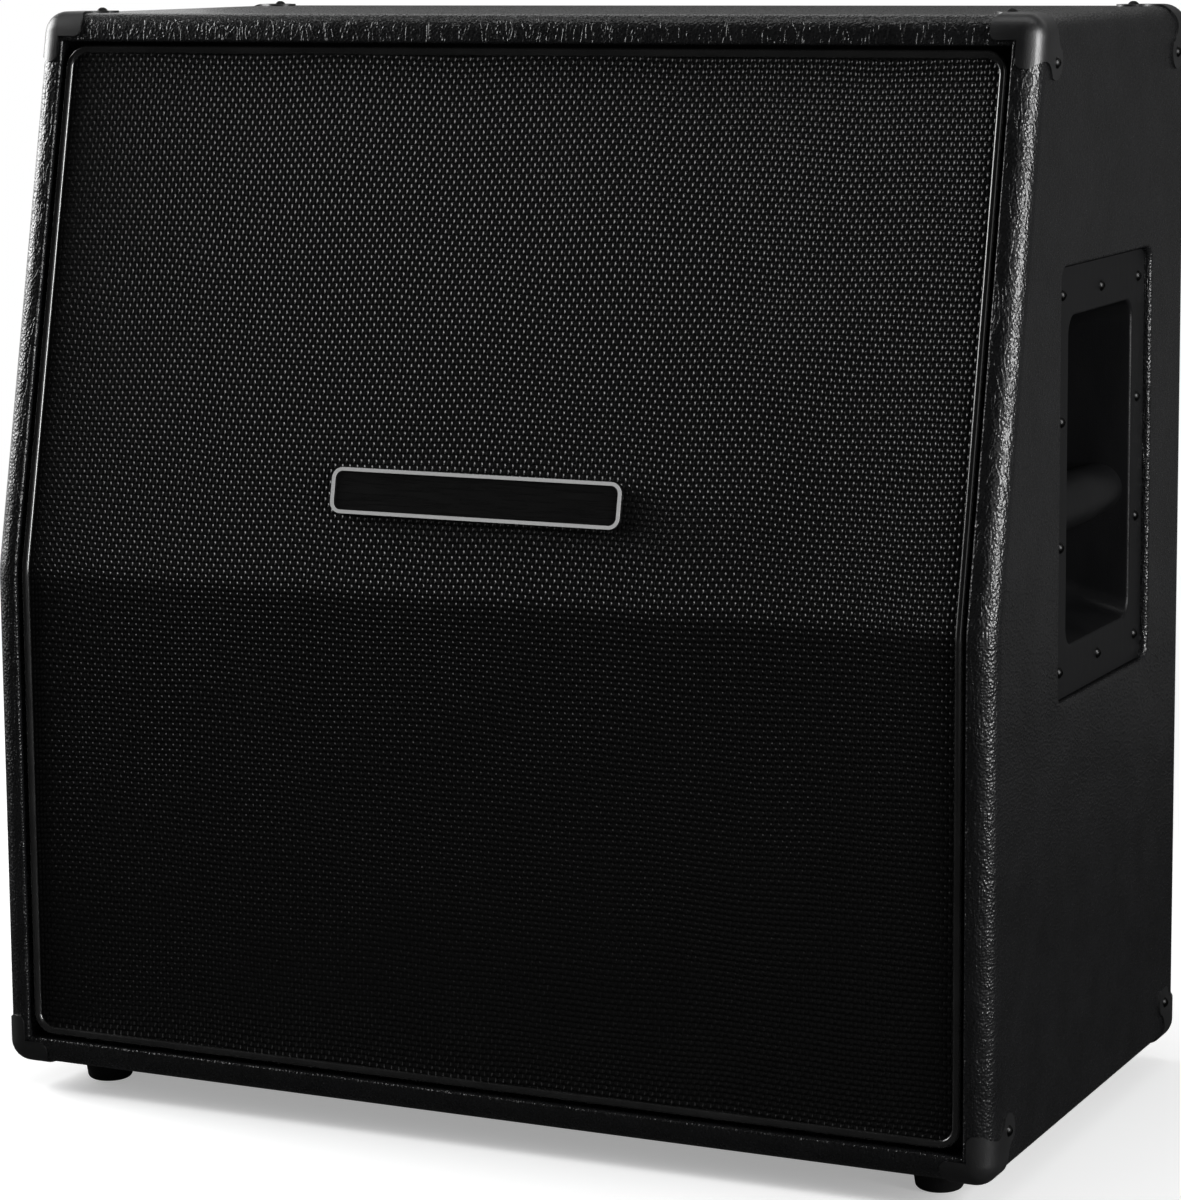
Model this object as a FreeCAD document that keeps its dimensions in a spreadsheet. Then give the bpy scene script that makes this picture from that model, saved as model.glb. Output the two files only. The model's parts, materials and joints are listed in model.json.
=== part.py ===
import FreeCAD, Part
import math
import os
import Sketcher

# Guitar speaker cabinet: a closed plywood box with a slanted upper front and four 12 inch loudspeakers.
# Millimetres, +Z up, front towards -Y. The origin is on the floor, under the middle of the body.

doc = FreeCAD.newDocument("speaker_cabinet")
Vector = FreeCAD.Vector


# Driving dimensions

SIZES = [
    # Body, over its vinyl covering
    ("cabinet_width", 760),
    ("cabinet_height", 758),
    ("cabinet_depth", 410),
    ("top_depth", 325),
    ("bend_height", 365),
    ("bend_radius", 80),
    ("edge_radius", 15),
    ("panel_ply", 18),
    ("vinyl_thickness", 1),
    ("panel_rebate", 6),
    # Grille, set in the lined front opening
    ("grille_clearance", 2.6),
    ("grille_setback", 2.6),
    ("piping_diameter", 6),
    ("piping_corner", 13),
    ("piping_bend", 40),
    ("piping_seat", 0.2),
    ("cloth_drop", 2.4),
    ("cloth_thickness", 1),
    ("frame_thickness", 12),
    ("frame_rail", 26),
    ("frame_cross_rail", 34),
    ("pad_thickness", 3),
    ("pad_side", 20),
    ("pad_margin", 95),
    ("badge_width", 220),
    ("badge_height", 32),
    ("badge_thickness", 3),
    ("badge_corner", 8),
    ("badge_rim", 2.5),
    ("badge_sink", 1),
    ("badge_rise", 68),
    # Baffle, battens, brace and back
    ("baffle_ply", 18),
    ("board_clearance", 1),
    ("board_screw_margin", 50),
    ("batten_side", 18),
    ("brace_width", 18),
    ("brace_height", 60),
    ("brace_drop", 4),
    ("back_ply", 15),
    ("back_recess", 6),
    # Recessed side handles
    ("recess_width", 196),
    ("recess_height", 293),
    ("recess_depth", 8),
    ("recess_corner", 10),
    ("handle_from_front", 228),
    ("handle_from_base", 445),
    ("handle_clearance", 1),
    ("plate_thickness", 3),
    ("dish_width", 138),
    ("dish_height", 224),
    ("dish_depth", 66),
    ("dish_wall", 3),
    ("dish_side_draft", 7),
    ("dish_top_draft", 10),
    ("dish_floor_rise", 18),
    ("dish_corner", 16),
    ("dish_lip", 2.5),
    ("grip_drop", 22),
    ("grip_inset", 20),
    ("grip_middle_radius", 19),
    ("grip_end_radius", 17.5),
    ("handle_screw_column", 82.5),
    ("handle_screw_pitch", 84.8),
    # Corner protectors
    ("corner_wall", 1.4),
    ("corner_leg", 35),
    ("corner_leg_width", 16.5),
    ("corner_screw_inset", 32),
    ("corner_lobe", 12),
    ("corner_lobe_swing", 35),
    ("corner_dip_leg", 4),
    ("corner_dip_edge", 12),
    ("corner_land", 1),
    ("corner_tip", 5),
    ("corner_overcut", 6),
    ("corner_span", 54),
    ("corner_cutter", 80),
    # Feet
    ("foot_height", 20),
    ("foot_top_radius", 19),
    ("foot_base_radius", 16.5),
    ("foot_round", 4),
    ("foot_inset_side", 55),
    ("foot_inset_front", 54),
    ("foot_bore_radius", 6.5),
    ("foot_seat", 9),
    # Fasteners
    ("screw_head_radius", 4),
    ("screw_head_height", 2.4),
    ("screw_head_edge", 1),
    ("screw_shank_radius", 1.8),
    ("screw_length", 14),
    ("screw_cross", 3.6),
    ("screw_cross_width", 0.9),
    ("screw_cross_depth", 1.1),
    ("bolt_shank_radius", 2.5),
    ("bolt_head_radius", 4.5),
    ("bolt_head_height", 3.5),
    ("tee_nut_radius", 9),
    ("tee_nut_flange", 1.4),
    ("tee_nut_barrel_radius", 3.4),
    ("tee_nut_barrel", 10),
    # Jack plate on the back
    ("jack_plate_width", 104),
    ("jack_plate_height", 64),
    ("jack_plate_thickness", 2),
    ("jack_plate_corner", 6),
    ("jack_from_base", 230),
    ("jack_spacing", 44),
    ("jack_bore_radius", 3.25),
    ("jack_bush_radius", 5.5),
    ("jack_bush_length", 6),
    ("jack_body_radius", 9),
    ("jack_body_length", 28),
    ("jack_wall", 2),
    ("jack_nut_flats", 14),
    ("jack_nut_height", 2.5),
    ("jack_window_margin", 13),
    ("jack_screw_margin", 6.5),
    # Loudspeakers
    ("speaker_clearance", 9.4),
    ("speaker_bolt_inset", 5.5),
    ("speaker_rim", 13.5),
    ("cutout_lap", 12.5),
    ("basket_sheet", 2),
    ("basket_depth", 90),
    ("basket_step", 6),
    ("window_foot", 8),
    ("window_head", 10),
    ("window_foot_angle", 16.7),
    ("window_head_angle", 20.8),
    ("gasket_thickness", 3),
    ("gasket_width", 9.5),
    ("cone_margin", 28.5),
    ("cone_depth", 52),
    ("cone_rest", 7.5),
    ("cone_paper", 1),
    ("cap_radius", 34),
    ("cap_height", 13),
    ("running_gap", 0.4),
    ("surround_roll", 2.4),
    ("surround_sheet", 0.8),
    ("coil_radius", 25.8),
    ("coil_former", 0.6),
    ("coil_winding", 0.4),
    ("coil_overhang", 2),
    ("magnet_gap", 0.7),
    ("spider_depth", 75),
    ("spider_radius", 68),
    ("spider_ledge", 8),
    ("spider_clearance", 1),
    ("top_plate_radius", 60),
    ("top_plate_thickness", 6),
    ("magnet_radius", 78),
    ("magnet_bore_radius", 42),
    ("magnet_thickness", 18),
    ("back_plate_radius", 74),
    ("back_plate_thickness", 6),
    ("tag_width", 22),
    ("tag_reach", 96),
    ("tag_thickness", 2.5),
    ("tag_end", 7),
    # Internal leads
    ("lead_radius", 2.5),
    ("lead_offset", 4),
    ("lead_tail", 60),
    ("lead_bend_run", 27),
]

# Places that follow from the sizes

PLACES = [
    ("half_width", "=Sizes.cabinet_width / 2"),
    ("base", "=Sizes.foot_height"),
    ("crown", "=base + Sizes.cabinet_height"),
    ("front", "=-Sizes.cabinet_depth / 2"),
    ("back", "=Sizes.cabinet_depth / 2"),
    ("bend", "=base + Sizes.bend_height"),
    ("set_back", "=Sizes.cabinet_depth - Sizes.top_depth"),
    ("slant", "=atan(set_back / (Sizes.cabinet_height - Sizes.bend_height))"),
    ("lean", "=tan(slant)"),
    ("half_lean", "=tan(slant / 2)"),
    # Inner faces of the plywood, and of its vinyl lining at the openings
    ("wall", "=Sizes.vinyl_thickness + Sizes.panel_ply"),
    ("lined_wall", "=wall + Sizes.vinyl_thickness"),
    ("inside_half", "=half_width - wall"),
    ("inside_low", "=base + wall"),
    ("inside_high", "=crown - wall"),
    # Depths behind the front face, from the piping back to the battens
    ("piping_depth", "=Sizes.grille_setback + Sizes.piping_diameter / 2"),
    ("cloth_depth", "=Sizes.grille_setback + Sizes.cloth_drop"),
    ("frame_depth", "=cloth_depth + Sizes.cloth_thickness"),
    ("pad_depth", "=frame_depth + Sizes.frame_thickness"),
    ("baffle_depth", "=pad_depth + Sizes.pad_thickness"),
    ("batten_depth", "=baffle_depth + Sizes.baffle_ply"),
    ("batten_bend", "=bend - batten_depth * half_lean"),
    # Outline of the grille frame inside its piping
    ("bead", "=lined_wall + Sizes.grille_clearance + Sizes.piping_diameter / 2"),
    ("frame_margin", "=bead + Sizes.piping_diameter / 2 + Sizes.piping_seat"),
    ("frame_half", "=half_width - frame_margin"),
    ("frame_low", "=base + frame_margin"),
    ("frame_high", "=crown - frame_margin"),
    ("frame_corner", "=Sizes.piping_corner - Sizes.piping_diameter / 2 - Sizes.piping_seat"),
    # Back panel and its battens
    ("back_face", "=back - Sizes.back_recess"),
    ("back_inner", "=back_face - Sizes.vinyl_thickness - Sizes.back_ply"),
    ("back_half", "=half_width - lined_wall - Sizes.board_clearance"),
    ("back_low", "=base + lined_wall + Sizes.board_clearance"),
    ("back_high", "=crown - lined_wall - Sizes.board_clearance"),
    # Handles
    ("handle_y", "=front + Sizes.handle_from_front"),
    ("handle_z", "=base + Sizes.handle_from_base"),
    ("handle_seat", "=half_width - Sizes.recess_depth"),
    # Battens, by their free faces
    ("batten_half", "=inside_half - Sizes.batten_side"),
    ("batten_middle", "=inside_half - Sizes.batten_side / 2"),
    ("batten_low", "=inside_low + Sizes.batten_side"),
    ("batten_high", "=inside_high - Sizes.batten_side"),
    # Speaker seats: each pair is centred in its bay between the brace, the battens and the bend
    ("seat_x", "=(batten_half + Sizes.brace_width / 2) / 2"),
    ("seat_low_y", "=front + batten_depth"),
    ("seat_low_z", "=(batten_bend + batten_low) / 2"),
    ("seat_rise", "=(batten_high - batten_bend) / 2"),
    ("seat_high_y", "=seat_low_y + seat_rise * lean"),
    ("seat_high_z", "=batten_bend + seat_rise"),
    # Speakers, all alike, as large as the tightest way of the bays leaves room for
    ("bay_half_width", "=(batten_half - Sizes.brace_width / 2) / 2"),
    ("low_bay_half", "=(batten_bend - batten_low) / 2"),
    ("high_bay_half", "=seat_rise / cos(slant)"),
    ("speaker_radius", "=min(bay_half_width; low_bay_half; high_bay_half) - Sizes.speaker_clearance"),
    ("bolt_circle", "=speaker_radius - Sizes.speaker_bolt_inset"),
    ("cutout_radius", "=speaker_radius - Sizes.cutout_lap"),
    ("cone_radius", "=speaker_radius - Sizes.cone_margin"),
    ("rim_inner", "=speaker_radius - Sizes.speaker_rim"),
    # Jack plate
    ("jack_z", "=base + Sizes.jack_from_base"),
]


def fill(sheet, rows):
    """Writes one named cell for each row."""
    for index, (alias, content) in enumerate(rows, 1):
        sheet.set(f"A{index}", alias)
        sheet.set(f"B{index}", str(content))
        sheet.setAlias(f"B{index}", alias)


sizes = doc.addObject("Spreadsheet::Sheet", "Sizes")
fill(sizes, SIZES)
places = doc.addObject("Spreadsheet::Sheet", "Places")
fill(places, PLACES)
doc.recompute()


# Helpers that turn named sizes into sketches, solids and places

def number(expression):
    """Value of an expression, for first guesses and for shapes made from curves."""
    result = places.evalExpression(str(expression))
    return float(getattr(result, "Value", result))


FACING = {
    "down": (Vector(1, 0, 0), "180 deg"),
    "front": (Vector(1, 0, 0), "90 deg"),
    "slant": (Vector(1, 0, 0), "90 deg - Places.slant"),
    "back": (Vector(1, 0, 0), "-90 deg"),
    "right": (Vector(0, 1, 0), "90 deg"),
    "left": (Vector(0, 1, 0), "-90 deg"),
    "side": (Vector(1, 1, 1), "120 deg"),
}


def place(item, x="0", y="0", z="0", facing="up"):
    """Puts an object at a place, with its own +Z turned to a side of the cabinet."""
    if facing in FACING:
        axis, angle = FACING[facing]
        item.Placement = FreeCAD.Placement(Vector(), FreeCAD.Rotation(axis, number(angle)))
        item.setExpression("Placement.Rotation.Angle", angle)
    for name, expression in zip("xyz", (x, y, z)):
        item.setExpression(f"Placement.Base.{name}", str(expression))
    return item


def new_body(name):
    return doc.addObject("PartDesign::Body", name)


def arc_between(start, end, radius, side):
    """Arc from start to end: its centre is left of the way for side 1, right for side -1."""
    chord = end - start
    middle = (start + end) / 2
    height = math.sqrt(max(radius * radius - chord.Length ** 2 / 4, 0))
    centre = middle + Vector(-chord.y, chord.x, 0).normalize() * height * side
    circle = Part.Circle(centre, Vector(0, 0, 1), radius)
    angle = [math.atan2(p.y - centre.y, p.x - centre.x) for p in (start, end)]
    if side < 0:
        angle.reverse()
    return Part.ArcOfCircle(circle, angle[0], angle[1])


def outline(body, role, loops, shift=None):
    """Sketch of closed loops on an origin plane of the body.

    A corner is (u, v), or (u, v, radius, side) where an arc leads to the next corner.
    """
    sketch = body.newObject("Sketcher::SketchObject", f"{body.Name}_outline")
    sketch.AttachmentSupport = [(origin_plane(body, role), "")]
    sketch.MapMode = "FlatFace"
    if shift:
        for name, expression in zip("xyz", shift):
            sketch.setExpression(f"AttachmentOffset.Base.{name}", str(expression))
    for corners in loops:
        draw_loop(sketch, corners)
    return sketch


def origin_plane(body, role):
    return next(f for f in body.Origin.OriginFeatures if f.Role == role)


def draw_loop(sketch, corners):
    spots = [Vector(number(c[0]), number(c[1]), 0) for c in corners]
    ends = []
    for index, corner in enumerate(corners):
        start, end = spots[index], spots[(index + 1) % len(spots)]
        if len(corner) == 2:
            ends.append((sketch.addGeometry(Part.LineSegment(start, end)), 1, 2))
            continue
        radius, side = corner[2], corner[3]
        edge = sketch.addGeometry(arc_between(start, end, number(radius), side))
        ends.append((edge, 1, 2) if side > 0 else (edge, 2, 1))
        bound = sketch.addConstraint(Sketcher.Constraint("Radius", edge, number(radius)))
        sketch.setExpression(f"Constraints[{bound}]", str(radius))
    for index, (edge, _, last) in enumerate(ends):
        following, first, _ = ends[(index + 1) % len(ends)]
        sketch.addConstraint(Sketcher.Constraint("Coincident", edge, last, following, first))
    for (edge, first, _), corner, spot in zip(ends, corners, spots):
        for kind, expression, value in (("DistanceX", corner[0], spot.x), ("DistanceY", corner[1], spot.y)):
            bound = sketch.addConstraint(Sketcher.Constraint(kind, -1, 1, edge, first, value))
            sketch.setExpression(f"Constraints[{bound}]", str(expression))


def rectangle(u0, u1, v0, v1):
    return [(u0, v0), (u1, v0), (u1, v1), (u0, v1)]


def centred(width, height):
    return rectangle(f"-({width}) / 2", f"({width}) / 2", f"-({height}) / 2", f"({height}) / 2")


def pad(body, sketch, length, symmetric=False, reverse=False):
    feature = body.newObject("PartDesign::Pad", f"{body.Name}_pad")
    feature.Profile = sketch
    feature.SideType = "Symmetric" if symmetric else "One side"
    feature.Reversed = reverse
    feature.setExpression("Length", str(length))
    return feature


def pocket(body, sketch):
    """Cut right through the body, both ways from the sketch."""
    feature = body.newObject("PartDesign::Pocket", f"{body.Name}_pocket")
    feature.Profile = sketch
    feature.Type = "ThroughAll"
    feature.SideType = "Symmetric"
    return feature


def round_edges(body, base, radius, chosen):
    """Fillet on the edges of a feature that a test picks."""
    doc.recompute()
    names = [f"Edge{i}" for i, edge in enumerate(base.Shape.Edges, 1) if chosen(edge)]
    feature = body.newObject("PartDesign::Fillet", f"{body.Name}_fillet")
    feature.Base = (base, names)
    feature.setExpression("Radius", str(radius))
    return feature


def near(a, b):
    return abs(a - b) < 0.01


def along(edge, direction):
    """True for a straight edge along a direction."""
    span = edge.Vertexes[-1].Point - edge.Vertexes[0].Point
    return edge.Curve.TypeId == "Part::GeomLine" and near(abs(span * direction), span.Length)


def revolved(name, corners):
    """Body turned from an outline of (radius, height) corners about its own Z axis."""
    body = new_body(name)
    sketch = outline(body, "XZ_Plane", [corners])
    turn = body.newObject("PartDesign::Revolution", f"{name}_turn")
    turn.Profile = sketch
    turn.ReferenceAxis = (sketch, ["V_Axis"])
    turn.Angle = 360
    return body


def board(name, corners, width, x="0"):
    """Body of one side outline in (y, z), as wide as asked and centred on x."""
    body = new_body(name)
    pad(body, outline(body, "YZ_Plane", [corners]), width, symmetric=True)
    return place(body, x=x)


def block(name, x0, x1, y0, y1, z0, z1):
    item = doc.addObject("Part::Box", name)
    item.setExpression("Length", f"({x1}) - ({x0})")
    item.setExpression("Width", f"({y1}) - ({y0})")
    item.setExpression("Height", f"({z1}) - ({z0})")
    return place(item, x0, y0, z0)


def cut(name, base, *tools):
    for tool in tools:
        item = doc.addObject("Part::Cut", name)
        item.Base = base
        item.Tool = tool
        base = item
    return base


def common(name, base, tool):
    item = doc.addObject("Part::Common", name)
    item.Base = base
    item.Tool = tool
    return item


def mirrored(name, source):
    """The same piece on the other side of the cabinet."""
    item = doc.addObject("Part::Mirroring", name)
    item.Source = source
    item.Normal = Vector(1, 0, 0)
    return item


def group(name, pieces):
    item = doc.addObject("Part::Compound", name)
    item.Links = pieces
    return item


def copies(name, master, spots):
    """Group of like pieces, each at its (x, y, z, facing)."""
    pieces = []
    for spot in spots:
        link = doc.addObject("App::Link", f"{name}_link")
        link.setLink(master)
        link.LinkTransform = False
        pieces.append(place(link, *spot))
    return group(name, pieces)


def fasteners(label, master, hole, spots):
    """Named group of like fasteners; gives the group of the plain holes that their shanks fill."""
    node(label, copies(label, master, spots))
    return copies(f"{label}_holes", hole, spots)


def solid(name, shape):
    """Piece made from curves, whose shape the code works out from the sizes."""
    item = doc.addObject("Part::Feature", name)
    item.Shape = shape
    return item


def spread(low, high, margin, count):
    """Even spots between two ends, the outer ones a margin away from them."""
    first = f"({low}) + {margin}"
    step = f"(({high}) - ({low}) - 2 * {margin}) / {count - 1}"
    return [f"({first} + {index} * {step})" for index in range(count)]


def front_line(depth, low, high):
    """Side view of a line behind the front, at one depth, from a low level past the bend to a high one."""
    y = f"Places.front + ({depth})"
    turn = f"(Places.bend - ({depth}) * Places.half_lean)"
    return [(y, low), (y, turn), (slant_y(depth, high), high)]


def slant_y(depth, level):
    """Y of the slanted front's parallel at a depth, at a level."""
    rise = f"(({level}) - Places.bend + ({depth}) * Places.half_lean)"
    return f"Places.front + ({depth}) + {rise} * Places.lean"


def bent_sheet(name, depth, thickness, low, high, width, x="0"):
    """Sheet behind the whole front, bent where the front bends."""
    near_side = front_line(depth, low, high)
    far_side = front_line(f"{depth} + {thickness}", low, high)
    return board(name, near_side + far_side[::-1], width, x)


SIDES = (1, -1)
HANDS = ("right", "left")
nodes = {}


def node(label, item):
    """Names a finished sub-part."""
    item.Label = label
    nodes[label] = item
    return item


# Body blanks: the covered body, its plywood, and the outside of the corner protectors

def body_blank(name, inset):
    """Bent prism of the cabinet's side view, with every outer edge rounded."""
    low, high = f"Places.base + ({inset})", f"Places.crown - ({inset})"
    rear = f"Places.back - ({inset})"
    body = new_body(name)
    corners = front_line(inset, low, high) + [(rear, high), (rear, low)]
    prism = pad(body, outline(body, "YZ_Plane", [corners]), f"Sizes.cabinet_width - 2 * ({inset})", True)
    bend_z = number(corners[1][1])
    across = Vector(1, 0, 0)
    bent = round_edges(body, prism, f"Sizes.bend_radius - ({inset})",
                       lambda e: along(e, across) and near(e.CenterOfMass.z, bend_z))
    half = number(f"Places.half_width - ({inset})")
    tips = [Vector(0, number(y), number(z)) for index, (y, z) in enumerate(corners) if index != 1]

    def outer(edge):
        middle = edge.CenterOfMass
        on_tip = any(near(middle.y, tip.y) and near(middle.z, tip.z) for tip in tips)
        return near(abs(middle.x), half) or (along(edge, across) and on_tip)

    round_edges(body, bent, f"Sizes.edge_radius - ({inset})", outer)
    return body


skin_blank = body_blank("skin_blank", "0")
ply_blank = body_blank("ply_blank", "Sizes.vinyl_thickness")
corner_blank = body_blank("corner_blank", "-Sizes.corner_wall")


# Fasteners: a domed cross-head wood screw, a speaker bolt and its tee nut

def wood_screw():
    """Domed screw, its head seated at its own origin."""
    dome = "(Sizes.screw_head_radius ^ 2 + Sizes.screw_head_height ^ 2) / (2 * Sizes.screw_head_height)"
    corners = [("0", "-Sizes.screw_length"), ("Sizes.screw_shank_radius", "-Sizes.screw_length"),
               ("Sizes.screw_shank_radius", "0"), ("Sizes.screw_head_radius", "0", dome, 1),
               ("0", "Sizes.screw_head_height")]
    body = revolved("wood_screw", corners)
    slot, span = "Sizes.screw_cross_width / 2", "Sizes.screw_cross / 2"
    cross = [(f"{a} * {p}", f"{b} * {q}") for a, p, b, q in (
        (1, slot, 1, span), (-1, slot, 1, span), (-1, slot, 1, slot), (-1, span, 1, slot),
        (-1, span, -1, slot), (-1, slot, -1, slot), (-1, slot, -1, span), (1, slot, -1, span),
        (1, slot, -1, slot), (1, span, -1, slot), (1, span, 1, slot), (1, slot, 1, slot))]
    sketch = outline(body, "XY_Plane", [cross], shift=("0", "0", "Sizes.screw_head_height"))
    recess = body.newObject("PartDesign::Pocket", "cross_recess")
    recess.Profile = sketch
    recess.setExpression("Length", "Sizes.screw_cross_depth")
    return body


def shank(name, radius, low, high):
    """Plain pin of a fastener's shank, to drill its hole."""
    return revolved(name, rectangle("0", radius, low, high))


screw = wood_screw()
screw_hole = shank("screw_hole", "Sizes.screw_shank_radius", "-Sizes.screw_length", "0")
bolt_end = "Sizes.basket_sheet + Sizes.gasket_thickness + Sizes.baffle_ply"
bolt = revolved("speaker_bolt", [
    ("0", "-Sizes.bolt_head_height"), ("Sizes.bolt_head_radius", "-Sizes.bolt_head_height"),
    ("Sizes.bolt_head_radius", "0"), ("Sizes.bolt_shank_radius", "0"),
    ("Sizes.bolt_shank_radius", bolt_end), ("0", bolt_end)])
bolt_hole = shank("bolt_hole", "Sizes.bolt_shank_radius", "0", bolt_end)
nut_hole = shank("nut_hole", "Sizes.tee_nut_barrel_radius", "-Sizes.tee_nut_barrel", "0")
tee_nut = revolved("tee_nut", [
    ("Sizes.bolt_shank_radius", "-Sizes.tee_nut_barrel"),
    ("Sizes.tee_nut_barrel_radius", "-Sizes.tee_nut_barrel"),
    ("Sizes.tee_nut_barrel_radius", "0"), ("Sizes.tee_nut_radius", "0"),
    ("Sizes.tee_nut_radius", "Sizes.tee_nut_flange"), ("Sizes.bolt_shank_radius", "Sizes.tee_nut_flange")])


# Corner protectors: thin moulded shells over the eight corners, each with two domed screws

def body_corners():
    """Right-hand corners: (y, z) and the ways along the upright and the level edge there."""
    front_edges = front_line("0", "Places.base", "Places.crown")
    bottom_y, top_y = number(front_edges[0][0]), number(front_edges[2][0])
    base, crown, back = number("Places.base"), number("Places.crown"), number("Places.back")
    slant = math.radians(number("Places.slant"))
    rear, fore = Vector(0, 1, 0), Vector(0, -1, 0)
    up, down = Vector(0, 0, 1), Vector(0, 0, -1)
    return {
        "bottom_front": (bottom_y, base, up, rear),
        "top_front": (top_y, crown, Vector(0, -math.sin(slant), -math.cos(slant)), rear),
        "bottom_rear": (back, base, up, fore),
        "top_rear": (back, crown, down, fore),
    }


def lobed_wire(at):
    """Outline on a closed face: a leg along each edge and a round lobe for the screw between them."""
    leg, inset, lobe = (number(f"Sizes.corner_{size}") for size in ("leg", "screw_inset", "lobe"))
    reach = 2 * number("Sizes.corner_overcut")
    land = number("Sizes.corner_land")
    swing = math.radians(number("Sizes.corner_lobe_swing"))
    tip = inset + lobe * math.sin(math.radians(45))
    wide, narrow = inset + lobe * math.cos(swing), inset - lobe * math.sin(swing)
    dip_u, dip_v = leg - number("Sizes.corner_dip_leg"), number("Sizes.corner_dip_edge")
    edges = [
        Part.LineSegment(at(-reach, -reach), at(leg, -reach)),
        Part.LineSegment(at(leg, -reach), at(leg, land)),
        Part.Arc(at(leg, land), at(dip_u, dip_v), at(wide, narrow)),
        Part.Arc(at(wide, narrow), at(tip, tip), at(narrow, wide)),
        Part.Arc(at(narrow, wide), at(dip_v, dip_u), at(land, leg)),
        Part.LineSegment(at(land, leg), at(-reach, leg)),
        Part.LineSegment(at(-reach, leg), at(-reach, -reach)),
    ]
    return Part.Wire([e.toShape() for e in edges])


def ell_wire(at):
    """Outline on an open face: two narrow legs with rounded ends that leave the opening free."""
    leg, width, tip = (number(f"Sizes.corner_{size}") for size in ("leg", "leg_width", "tip"))
    reach = 2 * number("Sizes.corner_overcut")
    bow = tip * (1 - math.sin(math.radians(45)))
    edges = [
        Part.LineSegment(at(-reach, -reach), at(leg, -reach)),
        Part.LineSegment(at(leg, -reach), at(leg, width - tip)),
        Part.Arc(at(leg, width - tip), at(leg - bow, width - bow), at(leg - tip, width)),
        Part.LineSegment(at(leg - tip, width), at(width, width)),
        Part.LineSegment(at(width, width), at(width, leg - tip)),
        Part.Arc(at(width, leg - tip), at(width - bow, leg - bow), at(width - tip, leg)),
        Part.LineSegment(at(width - tip, leg), at(-reach, leg)),
        Part.LineSegment(at(-reach, leg), at(-reach, -reach)),
    ]
    return Part.Wire([e.toShape() for e in edges])


def face_cutter(corner, first, second, outward, wire):
    """What lies outside an outline on one face of the body, as deep as the rounded edges."""
    reach, far = number("Sizes.corner_overcut"), number("Sizes.corner_cutter")
    lift = outward * reach

    def at(u, v):
        return corner + lift + first * u + second * v

    sheet = Part.Face(Part.makePolygon([at(-reach, -reach), at(far, -reach), at(far, far), at(-reach, far),
                                        at(-reach, -reach)]))
    sink = outward * -(reach + number("Sizes.edge_radius"))
    return sheet.extrude(sink).cut(Part.Face(wire(at)).extrude(sink))


def corner_shell(y, z, upright, level):
    """Right-hand protector: the layer over the covered body, trimmed on the three faces of the corner."""
    corner = Vector(number("Places.half_width"), y, z)
    inward = Vector(-1, 0, 0)
    level_face = Vector(0, 0, 1 if z > number("Places.bend") else -1)
    open_face = inward.cross(upright).normalize()
    if open_face * level > 0:
        open_face = -open_face
    far = number("Sizes.corner_span")
    near_box = Part.makeBox(2 * far, 2 * far, 2 * far, corner - Vector(far, far, far))
    shell = corner_blank.Shape.common(near_box).cut(skin_blank.Shape)
    for first, second, outward, wire in ((upright, level, -inward, lobed_wire),
                                         (inward, level, level_face, lobed_wire),
                                         (inward, upright, open_face, ell_wire)):
        shell = shell.cut(face_cutter(corner, first, second, outward, wire))
    return shell


doc.recompute()
CORNERS = body_corners()
inset = number("Sizes.corner_screw_inset")
corner_spots = []
for y, z, upright, level in CORNERS.values():
    beside = Vector(0, y, z) + (upright + level) * inset
    above = Vector(0, y, z) + level * inset
    facing = "up" if z > number("Places.bend") else "down"
    level_face = "Places.crown + Sizes.corner_wall" if facing == "up" else "Places.base - Sizes.corner_wall"
    for side, hand in zip(SIDES, HANDS):
        outer_x = f"{side} * (Places.half_width + Sizes.corner_wall)"
        inset_x = f"{side} * (Places.half_width - Sizes.corner_screw_inset)"
        corner_spots.append((outer_x, beside.y, beside.z, hand))
        corner_spots.append((inset_x, above.y, level_face, facing))
corner_holes = fasteners("corner_screws", screw, screw_hole, corner_spots)

for name, (y, z, upright, level) in CORNERS.items():
    right = solid(f"{name}_shell", corner_shell(y, z, upright, level))
    pair = group(f"{name}_pair", [right, mirrored(f"{name}_mirror", right)])
    node(f"{name}_corners", cut(f"{name}_corners", pair, corner_holes))


# Side handles: a moulded dish with a flange in a recess of the side, and a grip across its mouth

def handle_hole(name, width, height, x0, x1, corner):
    """Rounded opening for a handle in the right side, between two planes."""
    body = new_body(name)
    hole = pad(body, outline(body, "YZ_Plane", [centred(width, height)]), f"({x1}) - ({x0})")
    round_edges(body, hole, corner, lambda e: along(e, Vector(1, 0, 0)))
    return place(body, x0, "Places.handle_y", "Places.handle_z")


outside = "Places.half_width + Sizes.edge_radius"
skin_recess = handle_hole("skin_recess", "Sizes.recess_width", "Sizes.recess_height",
                          "Places.handle_seat", outside, "Sizes.recess_corner")
ply_recess = handle_hole("ply_recess", "Sizes.recess_width + 2 * Sizes.vinyl_thickness",
                         "Sizes.recess_height + 2 * Sizes.vinyl_thickness",
                         "Places.handle_seat - Sizes.vinyl_thickness", outside,
                         "Sizes.recess_corner + Sizes.vinyl_thickness")
dish_around = "2 * (Sizes.dish_wall + Sizes.handle_clearance)"
dish_hole = handle_hole("dish_hole", f"Sizes.dish_width + {dish_around}",
                        f"Sizes.dish_height + {dish_around}",
                        "Places.inside_half - Sizes.edge_radius", outside, "Sizes.dish_corner")


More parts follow.
